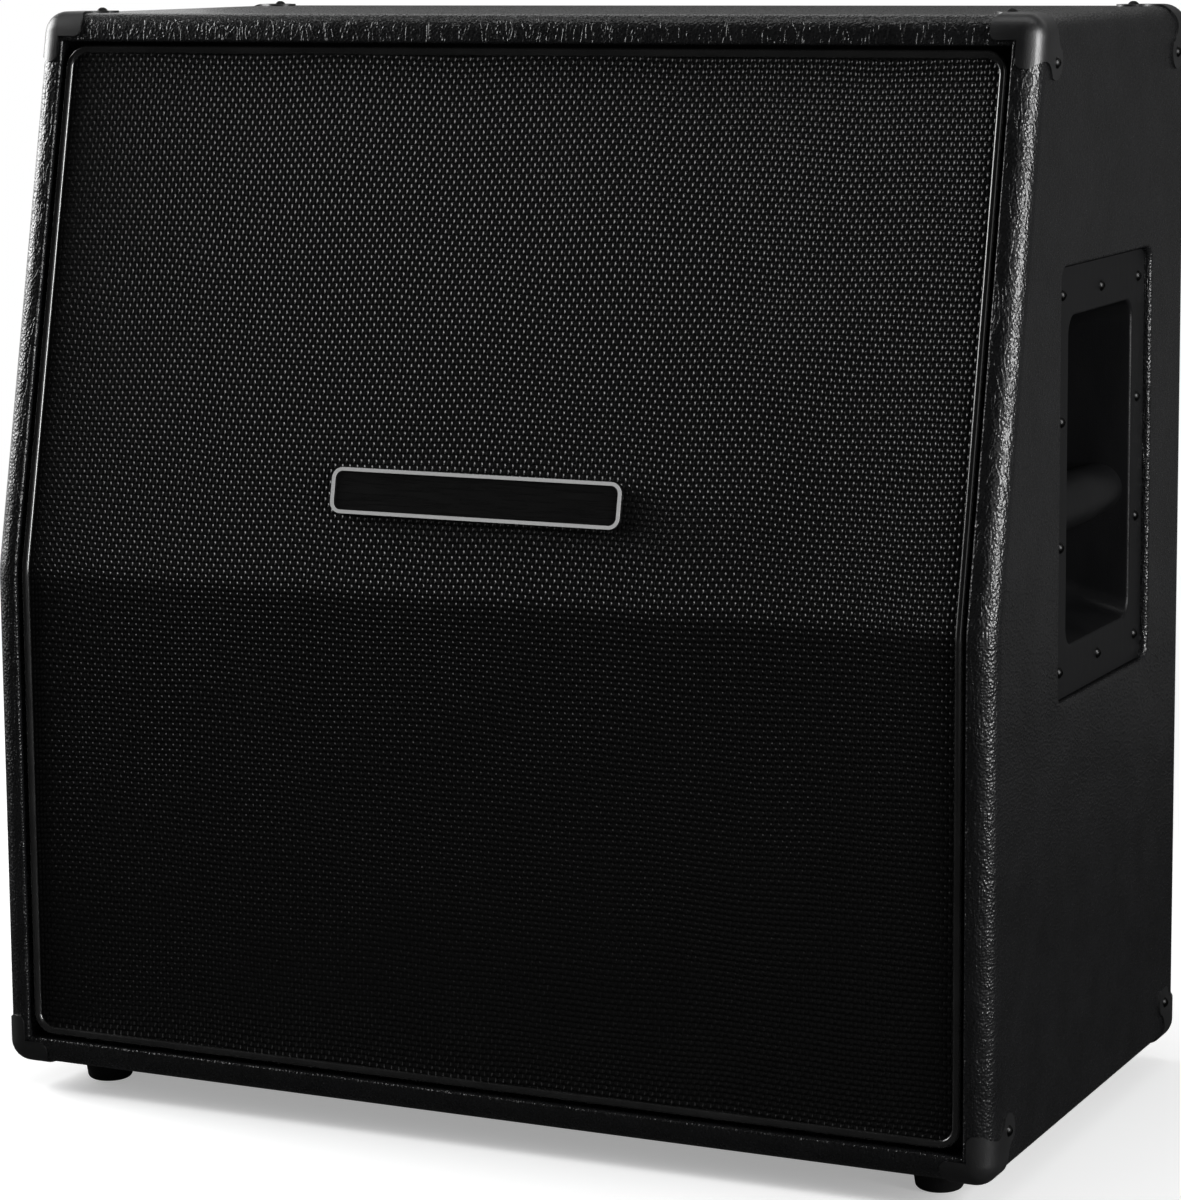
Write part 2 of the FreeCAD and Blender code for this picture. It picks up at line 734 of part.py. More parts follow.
def dish_block(name, wall, top, depth):
    """Tapering block of the dish, grown by a wall; its floor slopes up to the bottom."""
    half_w, half_h = f"(Sizes.dish_width / 2 + {wall})", f"(Sizes.dish_height / 2 + {wall})"
    mouth = rectangle(f"-{half_w}", half_w, f"-{half_h}", half_h)
    bottom = rectangle(f"-{half_w} + Sizes.dish_side_draft", f"{half_w} - Sizes.dish_side_draft",
                       f"-{half_h} + Sizes.dish_floor_rise", f"{half_h} - Sizes.dish_top_draft")
    body = new_body(name)
    taper = body.newObject("PartDesign::AdditiveLoft", f"{name}_taper")
    taper.Profile = outline(body, "XY_Plane", [mouth], shift=("0", "0", top))
    taper.Sections = [outline(body, "XY_Plane", [bottom], shift=("0", "0", f"-({depth})"))]
    floor = -number(depth)
    round_edges(body, taper, f"Sizes.dish_corner - Sizes.dish_wall + {wall}",
                lambda e: near(e.BoundBox.ZMin, floor))
    return body


def flange_plate(name):
    body = new_body(name)
    width, height = (f"Sizes.recess_{size} - 2 * Sizes.handle_clearance" for size in ("width", "height"))
    plate = pad(body, outline(body, "XY_Plane", [centred(width, height)]), "Sizes.plate_thickness")
    round_edges(body, plate, "Sizes.recess_corner - Sizes.handle_clearance",
                lambda e: along(e, Vector(0, 0, 1)))
    return body


def grip(name):
    """Barrel-shaped grip from wall to wall of the dish."""
    span, thick, thin = "Sizes.dish_width / 2", "Sizes.grip_middle_radius", "Sizes.grip_end_radius"
    bow = f"(({span}) ^ 2 + ({thick} - {thin}) ^ 2) / (2 * ({thick} - {thin}))"
    body = new_body(name)
    corners = [(f"-{span}", "0"), (span, "0"), (span, thin, bow, 1), (f"-{span}", thin)]
    sketch = outline(body, "XY_Plane", [corners], shift=("0", "-Sizes.grip_drop", "-Sizes.grip_inset"))
    turn = body.newObject("PartDesign::Revolution", f"{name}_turn")
    turn.Profile = sketch
    turn.ReferenceAxis = (sketch, ["H_Axis"])
    turn.Angle = 360
    return body


def fuse(name, base, tool):
    item = doc.addObject("Part::Fuse", name)
    item.Base = base
    item.Tool = tool
    return item


def handle(name):
    """Handle in its own frame: +Z out of the cabinet's side, +Y up, its flange seated on Z = 0."""
    outer = dish_block("dish_outside", "Sizes.dish_wall", "0", "Sizes.dish_depth")
    inner = dish_block("dish_inside", "0", "Sizes.plate_thickness", "Sizes.dish_depth - Sizes.dish_wall")
    hollow = cut("handle_dish", fuse("handle_blank", flange_plate("handle_flange"), outer), inner)
    doc.recompute()
    top = number("Sizes.plate_thickness")
    mouth = FreeCAD.BoundBox(inner.Shape.BoundBox)
    mouth.enlarge(0.01)
    rim = [i for i, edge in enumerate(hollow.Shape.Edges, 1)
           if near(edge.BoundBox.ZMin, top) and mouth.isInside(edge.BoundBox)]
    lip = doc.addObject("Part::Fillet", "handle_lip")
    lip.Base = hollow
    lip.Edges = [(index, number("Sizes.dish_lip"), number("Sizes.dish_lip")) for index in rim]
    return fuse(name, lip, grip("handle_grip"))


handle_body = place(handle("handle_body"), "Places.handle_seat", "Places.handle_y", "Places.handle_z", "side")
handle_mirror = mirrored("handle_mirror", handle_body)

handle_spots = []
rows = [(column, row) for column in (-1, 1) for row in (-1.5, -0.5, 0.5, 1.5)] + [(0, -1.5), (0, 1.5)]
for side, hand in zip(SIDES, HANDS):
    for column, row in rows:
        handle_spots.append((f"{side} * (Places.handle_seat + Sizes.plate_thickness)",
                             f"Places.handle_y + {column} * Sizes.handle_screw_column",
                             f"Places.handle_z + {row} * Sizes.handle_screw_pitch", hand))
handle_holes = fasteners("handle_screws", screw, screw_hole, handle_spots)
node("right_handle", cut("right_handle", handle_body, handle_holes))
node("left_handle", cut("left_handle", handle_mirror, handle_holes))
recess_pair = {"skin": [skin_recess, mirrored("skin_recess_mirror", skin_recess)],
               "ply": [ply_recess, mirrored("ply_recess_mirror", ply_recess)],
               "dish": [dish_hole, mirrored("dish_hole_mirror", dish_hole)]}


# Feet: four rubber feet, each with a screw and a counterbore under it

def rubber_foot(name):
    """Foot with its origin in its seat against the body, hanging down."""
    flat = "Sizes.foot_base_radius - Sizes.foot_round"
    return revolved(name, [
        ("Sizes.screw_shank_radius", "0"), ("Sizes.foot_top_radius", "0"),
        ("Sizes.foot_base_radius", "-Sizes.foot_height + Sizes.foot_round", "Sizes.foot_round", -1),
        (flat, "-Sizes.foot_height"), ("Sizes.foot_bore_radius", "-Sizes.foot_height"),
        ("Sizes.foot_bore_radius", "-Sizes.foot_seat"), ("Sizes.screw_shank_radius", "-Sizes.foot_seat")])


foot_spots = []
foot_rows = {"front": "Places.front + Sizes.foot_inset_front", "rear": "Places.back - Sizes.foot_inset_front"}
for end, y in foot_rows.items():
    for side, hand in zip(SIDES, HANDS):
        x = f"{side} * (Places.half_width - Sizes.foot_inset_side)"
        node(f"{end}_{hand}_foot", place(rubber_foot(f"{end}_{hand}_foot"), x, y, "Places.base"))
        foot_spots.append((x, y, "Places.base - Sizes.foot_seat", "down"))
foot_holes = fasteners("foot_screws", screw, screw_hole, foot_spots)


# Carcass: rebated plywood panels and the vinyl glued over them and into both openings

def tunnel(name, wall):
    """Opening through the body from front to back."""
    reach = "Sizes.edge_radius"
    return block(name, f"{wall} - Places.half_width", f"Places.half_width - {wall}",
                 f"Places.front - {reach}", f"Places.back + {reach}",
                 f"Places.base + {wall}", f"Places.crown - {wall}")


bare_tunnel = tunnel("bare_tunnel", "Places.wall")
lined_tunnel = tunnel("lined_tunnel", "Places.lined_wall")
ring = cut("plywood_ring", ply_blank, bare_tunnel, *recess_pair["ply"], *recess_pair["dish"])


def level_slab(name, low, high):
    """Space of the top or bottom panel between the rebates of the sides."""
    half = "(Places.inside_half + Sizes.panel_rebate)"
    return block(name, f"-{half}", half, "Places.front - Sizes.edge_radius",
                 "Places.back + Sizes.edge_radius", low, high)


top_slab = level_slab("top_slab", "Places.inside_high", "Places.crown")
bottom_slab = level_slab("bottom_slab", "Places.base", "Places.inside_low")
node("top_panel", cut("top_panel", common("top_board", ring, top_slab), corner_holes))
bottom_board = common("bottom_board", ring, bottom_slab)
node("bottom_panel", cut("bottom_panel", bottom_board, corner_holes, foot_holes))
for side, hand in zip(SIDES, HANDS):
    ends = sorted((f"{side} * Places.inside_half", f"{side} * {outside.join('()')}"), key=number)
    half_space = block(f"{hand}_space", ends[0], ends[1], "Places.front - Sizes.edge_radius",
                       "Places.back + Sizes.edge_radius", "Places.base", "Places.crown")
    edge_board = common(f"{hand}_board", ring, half_space)
    node(f"{hand}_side_panel", cut(f"{hand}_side_panel", edge_board, top_slab, bottom_slab,
                                   corner_holes, handle_holes))

lining_end = front_line("Places.baffle_depth", "Places.inside_low", "Places.inside_high")
lining_back = [("Places.back_inner", "Places.inside_high"), ("Places.back_inner", "Places.inside_low")]
unlined = board("unlined_middle", lining_end + lining_back, "2 * Places.inside_half")
node("vinyl_covering", cut("vinyl_covering", skin_blank, *recess_pair["skin"], lined_tunnel, ring, unlined,
                           *recess_pair["dish"], corner_holes, handle_holes, foot_holes))


# Battens and brace inside the box

front_battens = [
    bent_sheet(f"{hand}_batten", "Places.batten_depth", "Sizes.batten_side", "Places.inside_low",
               "Places.inside_high", "Sizes.batten_side", f"{side} * Places.batten_middle")
    for side, hand in zip(SIDES, HANDS)]
front_battens.append(block("low_batten", "-Places.batten_half", "Places.batten_half", "Places.seat_low_y",
                           "Places.seat_low_y + Sizes.batten_side", "Places.inside_low", "Places.batten_low"))
batten_back = "Places.batten_depth + Sizes.batten_side"
front_battens.append(board("high_batten", [
    (slant_y("Places.batten_depth", "Places.batten_high"), "Places.batten_high"),
    (slant_y("Places.batten_depth", "Places.inside_high"), "Places.inside_high"),
    (slant_y(batten_back, "Places.inside_high"), "Places.inside_high"),
    (slant_y(batten_back, "Places.batten_high"), "Places.batten_high")], "2 * Places.batten_half"))

rear_front = "Places.back_inner - Sizes.batten_side"
rear_battens = []
for side in SIDES:
    ends = sorted((f"{side} * Places.inside_half", f"{side} * Places.batten_half"), key=number)
    rear_battens.append(block("rear_batten", ends[0], ends[1], rear_front, "Places.back_inner",
                              "Places.inside_low", "Places.inside_high"))
for low, high in (("inside_low", "batten_low"), ("batten_high", "inside_high")):
    rear_battens.append(block("rear_batten", "-Places.batten_half", "Places.batten_half", rear_front,
                              "Places.back_inner", f"Places.{low}", f"Places.{high}"))

brace_high = "(Places.batten_bend - Sizes.brace_drop)"
node("centre_brace", block("centre_brace", "-Sizes.brace_width / 2", "Sizes.brace_width / 2",
                           "Places.seat_low_y", "Places.back_inner",
                           f"{brace_high} - Sizes.brace_height", brace_high))


# Loudspeakers: seats on the back of the baffle, each in its own frame with +Z out of the front

SEATS = {}
for level, end, facing in (("lower", "low", "front"), ("upper", "high", "slant")):
    for side, hand in zip(SIDES, HANDS):
        spot = (f"{side} * Places.seat_x", f"Places.seat_{end}_y", f"Places.seat_{end}_z", facing)
        SEATS[f"{level}_{hand}"] = spot

flange_back = "-(Sizes.gasket_thickness + Sizes.basket_sheet)"
neck = "-(Sizes.cone_rest + Sizes.cone_depth)"
bore = "(Sizes.coil_radius + Sizes.running_gap)"
magnet_front = "-(Sizes.basket_depth + Sizes.top_plate_thickness)"
magnet_back = f"{magnet_front} - Sizes.magnet_thickness"


def basket(name, tag_side):
    """Pressed steel basket with six windows and a solder tag under the spider ledge."""
    sheet = "Sizes.basket_sheet"
    ledge = "-(Sizes.spider_depth + Sizes.surround_sheet)"
    seat_in = "(Sizes.spider_radius - Sizes.spider_ledge)"
    step = f"{flange_back} - Sizes.basket_step"
    floor = f"-Sizes.basket_depth + {sheet}"
    body = revolved(name, [
        ("Places.speaker_radius", "-Sizes.gasket_thickness"), ("Places.rim_inner", "-Sizes.gasket_thickness"),
        (f"Places.rim_inner - {sheet}", step), ("Sizes.spider_radius + Sizes.spider_clearance", ledge),
        (seat_in, ledge), (seat_in, floor), ("Sizes.magnet_bore_radius", floor),
        ("Sizes.magnet_bore_radius", "-Sizes.basket_depth"), (f"{seat_in} + {sheet}", "-Sizes.basket_depth"),
        (f"{seat_in} + {sheet}", f"{ledge} - {sheet}"),
        (f"Sizes.spider_radius + Sizes.spider_clearance + {sheet} / 2", f"{ledge} - {sheet}"),
        (f"Places.rim_inner + {sheet} / 2", f"{step} - {sheet}"),
        (f"Places.rim_inner + {sheet}", flange_back), ("Places.speaker_radius", flange_back)])
    foot, head = "(Sizes.spider_radius + Sizes.window_foot)", "(Places.rim_inner - Sizes.window_head)"
    foot_half = f"{foot} * tan(Sizes.window_foot_angle * 1 deg)"
    head_half = f"{head} * tan(Sizes.window_head_angle * 1 deg)"
    window = outline(body, "XY_Plane", [[(foot, f"-{foot_half}"), (head, f"-{head_half}"),
                                         (head, head_half), (foot, foot_half)]])
    opening = body.newObject("PartDesign::Pocket", f"{name}_window")
    opening.Profile = window
    opening.Type = "ThroughAll"
    ring_of_windows = body.newObject("PartDesign::PolarPattern", f"{name}_windows")
    ring_of_windows.Originals = [opening]
    ring_of_windows.Axis = (window, ["N_Axis"])
    ring_of_windows.Angle = 360
    ring_of_windows.Occurrences = 6
    body.Tip = ring_of_windows
    ends = sorted((f"{tag_side} * Sizes.spider_radius", f"{tag_side} * Sizes.tag_reach"), key=number)
    tag = rectangle("-Sizes.tag_width / 2", "Sizes.tag_width / 2", ends[0], ends[1])
    tag_sketch = outline(body, "XY_Plane", [tag], shift=("0", "0", f"{ledge} - {sheet}"))
    pad(body, tag_sketch, "Sizes.tag_thickness", reverse=True)
    return body


def rolled_ring(name, inner, outer, level, rolls, land):
    """Corrugated ring: rolls between an inner edge and a flat land that is glued down."""
    pitch = f"(({outer}) - ({land}) - ({inner})) / {2 * rolls}"
    top = [(f"({inner}) + {index} * {pitch}", f"({level}) + {index % 2} * Sizes.surround_roll")
           for index in range(2 * rolls)]
    top += [(f"({outer}) - ({land})", level), (outer, level)]
    under = [(r, f"{z} - Sizes.surround_sheet") for r, z in reversed(top)]
    return revolved(name, top + under)


def cone(name):
    return revolved(name, [
        ("Places.cone_radius", "-Sizes.cone_rest"), ("Sizes.coil_radius", neck),
        ("Sizes.coil_radius", f"{neck} - Sizes.cone_paper"),
        ("Places.cone_radius", "-Sizes.cone_rest - Sizes.cone_paper")])


def dust_cap(name):
    """Domed cap glued to the front of the cone."""
    slope = "Sizes.cone_depth / (Places.cone_radius - Sizes.coil_radius)"
    inner = "(Sizes.cap_radius - 2 * Sizes.cone_paper)"
    seat = [f"{neck} + ({r} - Sizes.coil_radius) * {slope}" for r in ("Sizes.cap_radius", inner)]
    crest = f"{seat[0]} + Sizes.cap_height"
    dome = "(Sizes.cap_radius ^ 2 + Sizes.cap_height ^ 2) / (2 * Sizes.cap_height)"
    hollow = f"({seat[0]} - ({seat[1]}) + Sizes.cap_height - Sizes.cone_paper)"
    vault = f"({inner} ^ 2 + {hollow} ^ 2) / (2 * {hollow})"
    return revolved(name, [("Sizes.cap_radius", seat[0], dome, 1), ("0", crest),
                           ("0", f"{crest} - Sizes.cone_paper", vault, -1), (inner, seat[1])])


def voice_coil(name):
    inner, wound = "Sizes.coil_radius - Sizes.coil_former", "Sizes.coil_radius + Sizes.coil_winding"
    start = "-(Sizes.basket_depth - Sizes.coil_overhang)"
    end = f"{magnet_front} - Sizes.coil_overhang"
    return revolved(name, [(inner, neck), ("Sizes.coil_radius", neck), ("Sizes.coil_radius", start),
                           (wound, start), (wound, end), (inner, end)])


def ring_plate(name, inner, outer, low, high):
    return revolved(name, rectangle(inner, outer, low, high))


def yoke(name):
    """Back plate with the pole piece that stands in the voice coil."""
    pole = "Sizes.coil_radius - Sizes.coil_former - Sizes.magnet_gap"
    return revolved(name, [
        ("0", f"{magnet_back} - Sizes.back_plate_thickness"),
        ("Sizes.back_plate_radius", f"{magnet_back} - Sizes.back_plate_thickness"),
        ("Sizes.back_plate_radius", magnet_back), (pole, magnet_back), (pole, "-Sizes.basket_depth"),
        ("0", "-Sizes.basket_depth")])


fixed_parts = {"speaker_baskets": [], "speaker_gaskets": [], "speaker_surrounds": [], "speaker_spiders": [],
               "top_plates": [], "ring_magnets": [], "pole_yokes": []}
for seat, spot in SEATS.items():
    tag_side = 1 if seat.startswith("lower") else -1
    pieces = {
        "speaker_baskets": basket(f"basket_{seat}", tag_side),
        "speaker_gaskets": ring_plate(f"gasket_{seat}", "Places.speaker_radius - Sizes.gasket_width",
                                      "Places.speaker_radius", "-Sizes.gasket_thickness", "0"),
        "speaker_surrounds": rolled_ring(f"surround_{seat}", "Places.cone_radius + Sizes.running_gap",
                                         "Places.speaker_radius - Sizes.gasket_width - Sizes.running_gap",
                                         "-Sizes.gasket_thickness + Sizes.surround_sheet", 2,
                                         "Sizes.speaker_rim - Sizes.gasket_width"),
        "speaker_spiders": rolled_ring(f"spider_{seat}", bore, "Sizes.spider_radius",
                                       "-Sizes.spider_depth", 4, "Sizes.spider_ledge"),
        "top_plates": ring_plate(f"top_plate_{seat}",
                                 "Sizes.coil_radius + Sizes.coil_winding + Sizes.magnet_gap",
                                 "Sizes.top_plate_radius", magnet_front, "-Sizes.basket_depth"),
        "ring_magnets": ring_plate(f"ring_magnet_{seat}", "Sizes.magnet_bore_radius", "Sizes.magnet_radius",
                                   magnet_back, magnet_front),
        "pole_yokes": yoke(f"yoke_{seat}"),
    }
    for kind, piece in pieces.items():
        fixed_parts[kind].append(place(piece, *spot))
    for kind, make in (("cone", cone), ("dust_cap", dust_cap), ("voice_coil", voice_coil)):
        node(f"{kind}_{seat}", place(make(f"{kind}_{seat}"), *spot))


# Speaker bolts run from behind through basket, gasket and baffle into tee nuts on the baffle's front

def seat_point(seat, u, v, w):
    """Expressions of a point given in a speaker's own frame."""
    x, y, z, facing = SEATS[seat]
    if facing == "front":
        return f"{x} + {u}", f"{y} - ({w})", f"{z} + {v}"
    return (f"{x} + {u}", f"{y} + ({v}) * sin(Places.slant) - ({w}) * cos(Places.slant)",
            f"{z} + ({v}) * cos(Places.slant) + ({w}) * sin(Places.slant)")


bolt_spots, nut_spots = [], []
for seat, spot in SEATS.items():
    for quarter in range(4):
        turn = 45 + 90 * quarter
        u, v = (f"Places.bolt_circle * {ratio}({turn} deg)" for ratio in ("cos", "sin"))
        bolt_spots.append((*seat_point(seat, u, v, flange_back), spot[3]))
        nut_spots.append((*seat_point(seat, u, v, "Sizes.baffle_ply"), spot[3]))
bolt_holes = fasteners("speaker_bolts", bolt, bolt_hole, bolt_spots)
nut_holes = fasteners("tee_nuts", tee_nut, nut_hole, nut_spots)
for kind, pieces in fixed_parts.items():
    drilled = kind in ("speaker_baskets", "speaker_gaskets")
    node(kind, cut(kind, group(f"{kind}_set", pieces), bolt_holes) if drilled else group(kind, pieces))


# Baffle: two boards that meet at the bend, screwed from the front to the battens

baffle_half = "(Places.inside_half - Sizes.board_clearance)"
baffle_spots = []
for side in SIDES:
    x = f"{side} * Places.batten_middle"
    for level in spread("Places.inside_low", "Places.batten_bend", "Sizes.board_screw_margin", 2):
        baffle_spots.append((x, "Places.front + Places.baffle_depth", level, "front"))
    for level in spread("Places.batten_bend", "Places.inside_high", "Sizes.board_screw_margin", 3):
        baffle_spots.append((x, slant_y("Places.baffle_depth", level), level, "slant"))


def long_screw(name, through):
    """Wood screw that also passes a board before it bites, and its hole."""
    end, radius = f"-Sizes.screw_length - {through}", "Sizes.screw_shank_radius"
    head = revolved(name, [
        ("0", end), (radius, end), (radius, "0"), ("Sizes.screw_head_radius", "0"),
        ("Sizes.screw_head_radius", "Sizes.screw_head_edge"), ("0", "Sizes.screw_head_height")])
    return head, shank(f"{name}_hole", radius, end, "0")


baffle_holes = fasteners("baffle_screws", *long_screw("baffle_screw", "Sizes.baffle_ply"), baffle_spots)

low_edge = "Places.inside_low + Sizes.board_clearance"
high_edge = "Places.inside_high - Sizes.board_clearance"
fore = front_line("Places.baffle_depth", low_edge, high_edge)
aft = front_line("Places.batten_depth", low_edge, high_edge)
boards = {"lower": board("lower_board", [fore[0], fore[1], aft[1], aft[0]], f"2 * {baffle_half}"),
          "upper": board("upper_board", [fore[1], fore[2], aft[2], aft[1]], f"2 * {baffle_half}")}
cutter = revolved("cutout", rectangle("0", "Places.cutout_radius", "-Sizes.pad_thickness",
                                      "Sizes.baffle_ply + Sizes.pad_thickness"))
for level, blank in boards.items():
    spots = [spot for seat, spot in SEATS.items() if seat.startswith(level)]
    holes = copies(f"{level}_cutouts", cutter, spots)
    node(f"{level}_baffle", cut(f"{level}_baffle", blank, holes, bolt_holes, nut_holes, baffle_holes))
node("front_battens", cut("front_battens", group("front_batten_set", front_battens), baffle_holes))


# Back panel with its own vinyl face, screwed to the rear battens

panel_window = [f"{sign} (Sizes.jack_plate_{size} / 2 - Sizes.jack_window_margin)"
                for size in ("width", "height") for sign in ("-1 *", "1 *")]
jack_window = block("jack_window", panel_window[0], panel_window[1], "Places.back_inner - Sizes.back_ply",
                    "Places.back_face + Sizes.back_ply", f"Places.jack_z + {panel_window[2]}",
                    f"Places.jack_z + {panel_window[3]}")
back_spots = []
for side in SIDES:
    for level in spread("Places.inside_low", "Places.inside_high", "Sizes.board_screw_margin", 4):
        back_spots.append((f"{side} * Places.batten_middle", "Places.back_face", level, "back"))
for level in ("Places.inside_low + Sizes.batten_side / 2", "Places.inside_high - Sizes.batten_side / 2"):
    for x in spread("-Places.batten_half", "Places.batten_half", "Sizes.board_screw_margin", 3):
        back_spots.append((x, "Places.back_face", level, "back"))
back_holes = fasteners("back_panel_screws", *long_screw("back_screw", "Sizes.back_ply"), back_spots)

jack_spots = []
for side in SIDES:
    for rise in (-1, 1):
        x = f"{side} * (Sizes.jack_plate_width / 2 - Sizes.jack_screw_margin)"
        z = f"Places.jack_z + {rise} * (Sizes.jack_plate_height / 2 - Sizes.jack_screw_margin)"
        jack_spots.append((x, "Places.back_face + Sizes.jack_plate_thickness", z, "back"))
jack_holes = fasteners("jack_plate_screws", screw, screw_hole, jack_spots)

back_board = block("back_board", "-Places.back_half", "Places.back_half", "Places.back_inner",
                   "Places.back_face - Sizes.vinyl_thickness", "Places.back_low", "Places.back_high")
back_skin = block("back_skin", "-Places.back_half", "Places.back_half",
                  "Places.back_face - Sizes.vinyl_thickness", "Places.back_face",
                  "Places.back_low", "Places.back_high")
node("back_panel", cut("back_panel", back_board, jack_window, back_holes, jack_holes))
node("back_vinyl", cut("back_vinyl", back_skin, jack_window, back_holes, jack_holes))
node("rear_battens", cut("rear_battens", group("rear_batten_set", rear_battens), back_holes))


# Jack plate: two sockets with their nuts, and the leads from them to the speaker tags

def jack_plate():
    body = new_body("jack_plate_body")
    sketch = outline(body, "XY_Plane", [centred("Sizes.jack_plate_width", "Sizes.jack_plate_height")])
    sheet = pad(body, sketch, "Sizes.jack_plate_thickness")
    round_edges(body, sheet, "Sizes.jack_plate_corner", lambda e: along(e, Vector(0, 0, 1)))
    return place(body, "0", "Places.back_face", "Places.jack_z", "back")


def jack_nut():
    body = new_body("jack_nut")
    across = "Sizes.jack_nut_flats / 2 / cos(30 deg)"
    hexagon = [(f"{across} * cos({60 * k} deg)", f"{across} * sin({60 * k} deg)") for k in range(6)]
    pad(body, outline(body, "XY_Plane", [hexagon]), "Sizes.jack_nut_height")
    return body


socket = revolved("jack_socket", [
    ("0", "-Sizes.jack_body_length"), ("Sizes.jack_body_radius", "-Sizes.jack_body_length"),
    ("Sizes.jack_body_radius", "0"), ("Sizes.jack_bush_radius", "0"),
    ("Sizes.jack_bush_radius", "Sizes.jack_bush_length"),
    ("Sizes.jack_bore_radius", "Sizes.jack_bush_length"),
    ("Sizes.jack_bore_radius", "-Sizes.jack_body_length + Sizes.jack_wall"),
    ("0", "-Sizes.jack_body_length + Sizes.jack_wall")])


def jack_seats(y):
    return [(f"{side} * Sizes.jack_spacing / 2", y, "Places.jack_z", "back") for side in SIDES]


node("jack_sockets", copies("jack_sockets", socket, jack_seats("Places.back_face")))
bush = revolved("jack_bush", rectangle("0", "Sizes.jack_bush_radius", "-Sizes.jack_wall",
                                       "Sizes.jack_bush_length"))
bushes = copies("jack_bushes", bush, jack_seats("Places.back_face"))
node("jack_plate", cut("jack_plate", jack_plate(), bushes, jack_holes))
nuts = copies("jack_nut_set", jack_nut(), jack_seats("Places.back_face + Sizes.jack_plate_thickness"))
node("jack_nuts", cut("jack_nuts", nuts, bushes))


# Bars bent along a route: the grille's piping and the internal leads

def rounded_route(points, radii, closed):
    """Straight runs between points, joined by tangent arcs."""
    count = len(points)
    arcs = {}
    for index in range(count) if closed else range(1, count - 1):
        before = (points[index - 1] - points[index]).normalize()
        after = (points[(index + 1) % count] - points[index]).normalize()
        half = before.getAngle(after) / 2
        reach = radii[index] / math.tan(half)
        middle = points[index] + (before + after).normalize() * (radii[index] / math.sin(half) - radii[index])
        arcs[index] = (points[index] + before * reach, middle, points[index] + after * reach)
    edges = []
    for index in range(count if closed else count - 1):
        following = (index + 1) % count
        start = arcs[index][2] if index in arcs else points[index]
        end = arcs[following][0] if following in arcs else points[following]
        edges.append(Part.LineSegment(start, end).toShape())
        if following in arcs:
            edges.append(Part.Arc(*arcs[following]).toShape())
    return Part.Wire(edges)


def bar(route, radius):
    """Round bar along a route that starts on a straight run."""
    run = route.Edges[0]
    start, way = run.Vertexes[0].Point, run.tangentAt(run.FirstParameter)
    section = Part.Wire(Part.Circle(start, way, radius).toShape())
    return route.makePipeShell([section], True, False)


def point(expressions):
    return Vector(*(number(e) for e in expressions))


def lead_route(seat):
    """Points of a lead from the back of a socket to the tag of a speaker."""
    side = 1 if seat.endswith("right") else -1
    level = -1 if seat.startswith("lower") else 1
    tag_v = f"{-level} * (Sizes.tag_reach - Sizes.tag_end)"
    tag_w = "-(Sizes.spider_depth + Sizes.surround_sheet + Sizes.basket_sheet + Sizes.tag_thickness)"
    x = f"{side} * Sizes.jack_spacing / 2 - {level * side} * Sizes.lead_offset"
    tail = "Places.back_face - Sizes.jack_body_length"
    return [point((x, tail, "Places.jack_z")), point((x, f"{tail} - Sizes.lead_tail", "Places.jack_z")),
            point(seat_point(seat, "0", tag_v, f"{tag_w} - Sizes.lead_tail")),
            point(seat_point(seat, "0", tag_v, tag_w))]


doc.recompute()
bend_run = number("Sizes.lead_bend_run")
leads = []
for seat in SEATS:
    points = lead_route(seat)
    turns = [math.pi - (points[i - 1] - points[i]).getAngle(points[i + 1] - points[i]) for i in (1, 2)]
    radii = [0] + [bend_run / math.tan(turn / 2) for turn in turns] + [0]
    route = rounded_route(points, radii, False)
    leads.append(solid(f"lead_{seat}", bar(route, number("Sizes.lead_radius"))))
node("speaker_leads", group("speaker_leads", leads))


# Grille: a bent frame with cloth over its face, piping round its edge and pads that hold it to the baffle

def grille_outline(name):
    """Front view of the grille inside its piping, as a prism from front to back."""
    body = new_body(name)
    sketch = outline(body, "XZ_Plane", [rectangle("-Places.frame_half", "Places.frame_half",
                                                  "Places.frame_low", "Places.frame_high")])
    prism = pad(body, sketch, "2 * Sizes.cabinet_depth", symmetric=True)
    round_edges(body, prism, "Places.frame_corner", lambda e: along(e, Vector(0, 1, 0)))
    return body


grille_prism = grille_outline("grille_prism")
frame = bent_sheet("frame_board", "Places.frame_depth", "Sizes.frame_thickness",
                   "Places.base", "Places.crown", "Sizes.cabinet_width")
window_half = "(Places.frame_half - Sizes.frame_rail)"
windows = [rectangle(f"-{window_half}", window_half, "Places.frame_low + Sizes.frame_rail",
                     "Places.bend - Sizes.frame_cross_rail / 2"),
           rectangle(f"-{window_half}", window_half, "Places.bend + Sizes.frame_cross_rail / 2",
                     "Places.frame_high - Sizes.frame_rail")]
pocket(frame, outline(frame, "XZ_Plane", windows))
node("grille_frame", common("grille_frame", frame, grille_prism))
cloth = bent_sheet("cloth_sheet", "Places.cloth_depth", "Sizes.cloth_thickness",
                   "Places.base", "Places.crown", "Sizes.cabinet_width")
node("grille_cloth", common("grille_cloth", cloth, grille_prism))

side_line = front_line("Places.piping_depth", "Places.base + Places.bead", "Places.crown - Places.bead")
right_edge = [point(("Places.half_width - Places.bead", y, z)) for y, z in side_line]
left_edge = [Vector(-p.x, p.y, p.z) for p in reversed(right_edge)]
edge_radii = [number(f"Sizes.piping_{kind}") for kind in ("corner", "bend", "corner")] * 2
piping_route = rounded_route(right_edge + left_edge, edge_radii, True)
node("grille_piping", solid("grille_piping", bar(piping_route, number("Sizes.piping_diameter / 2"))))

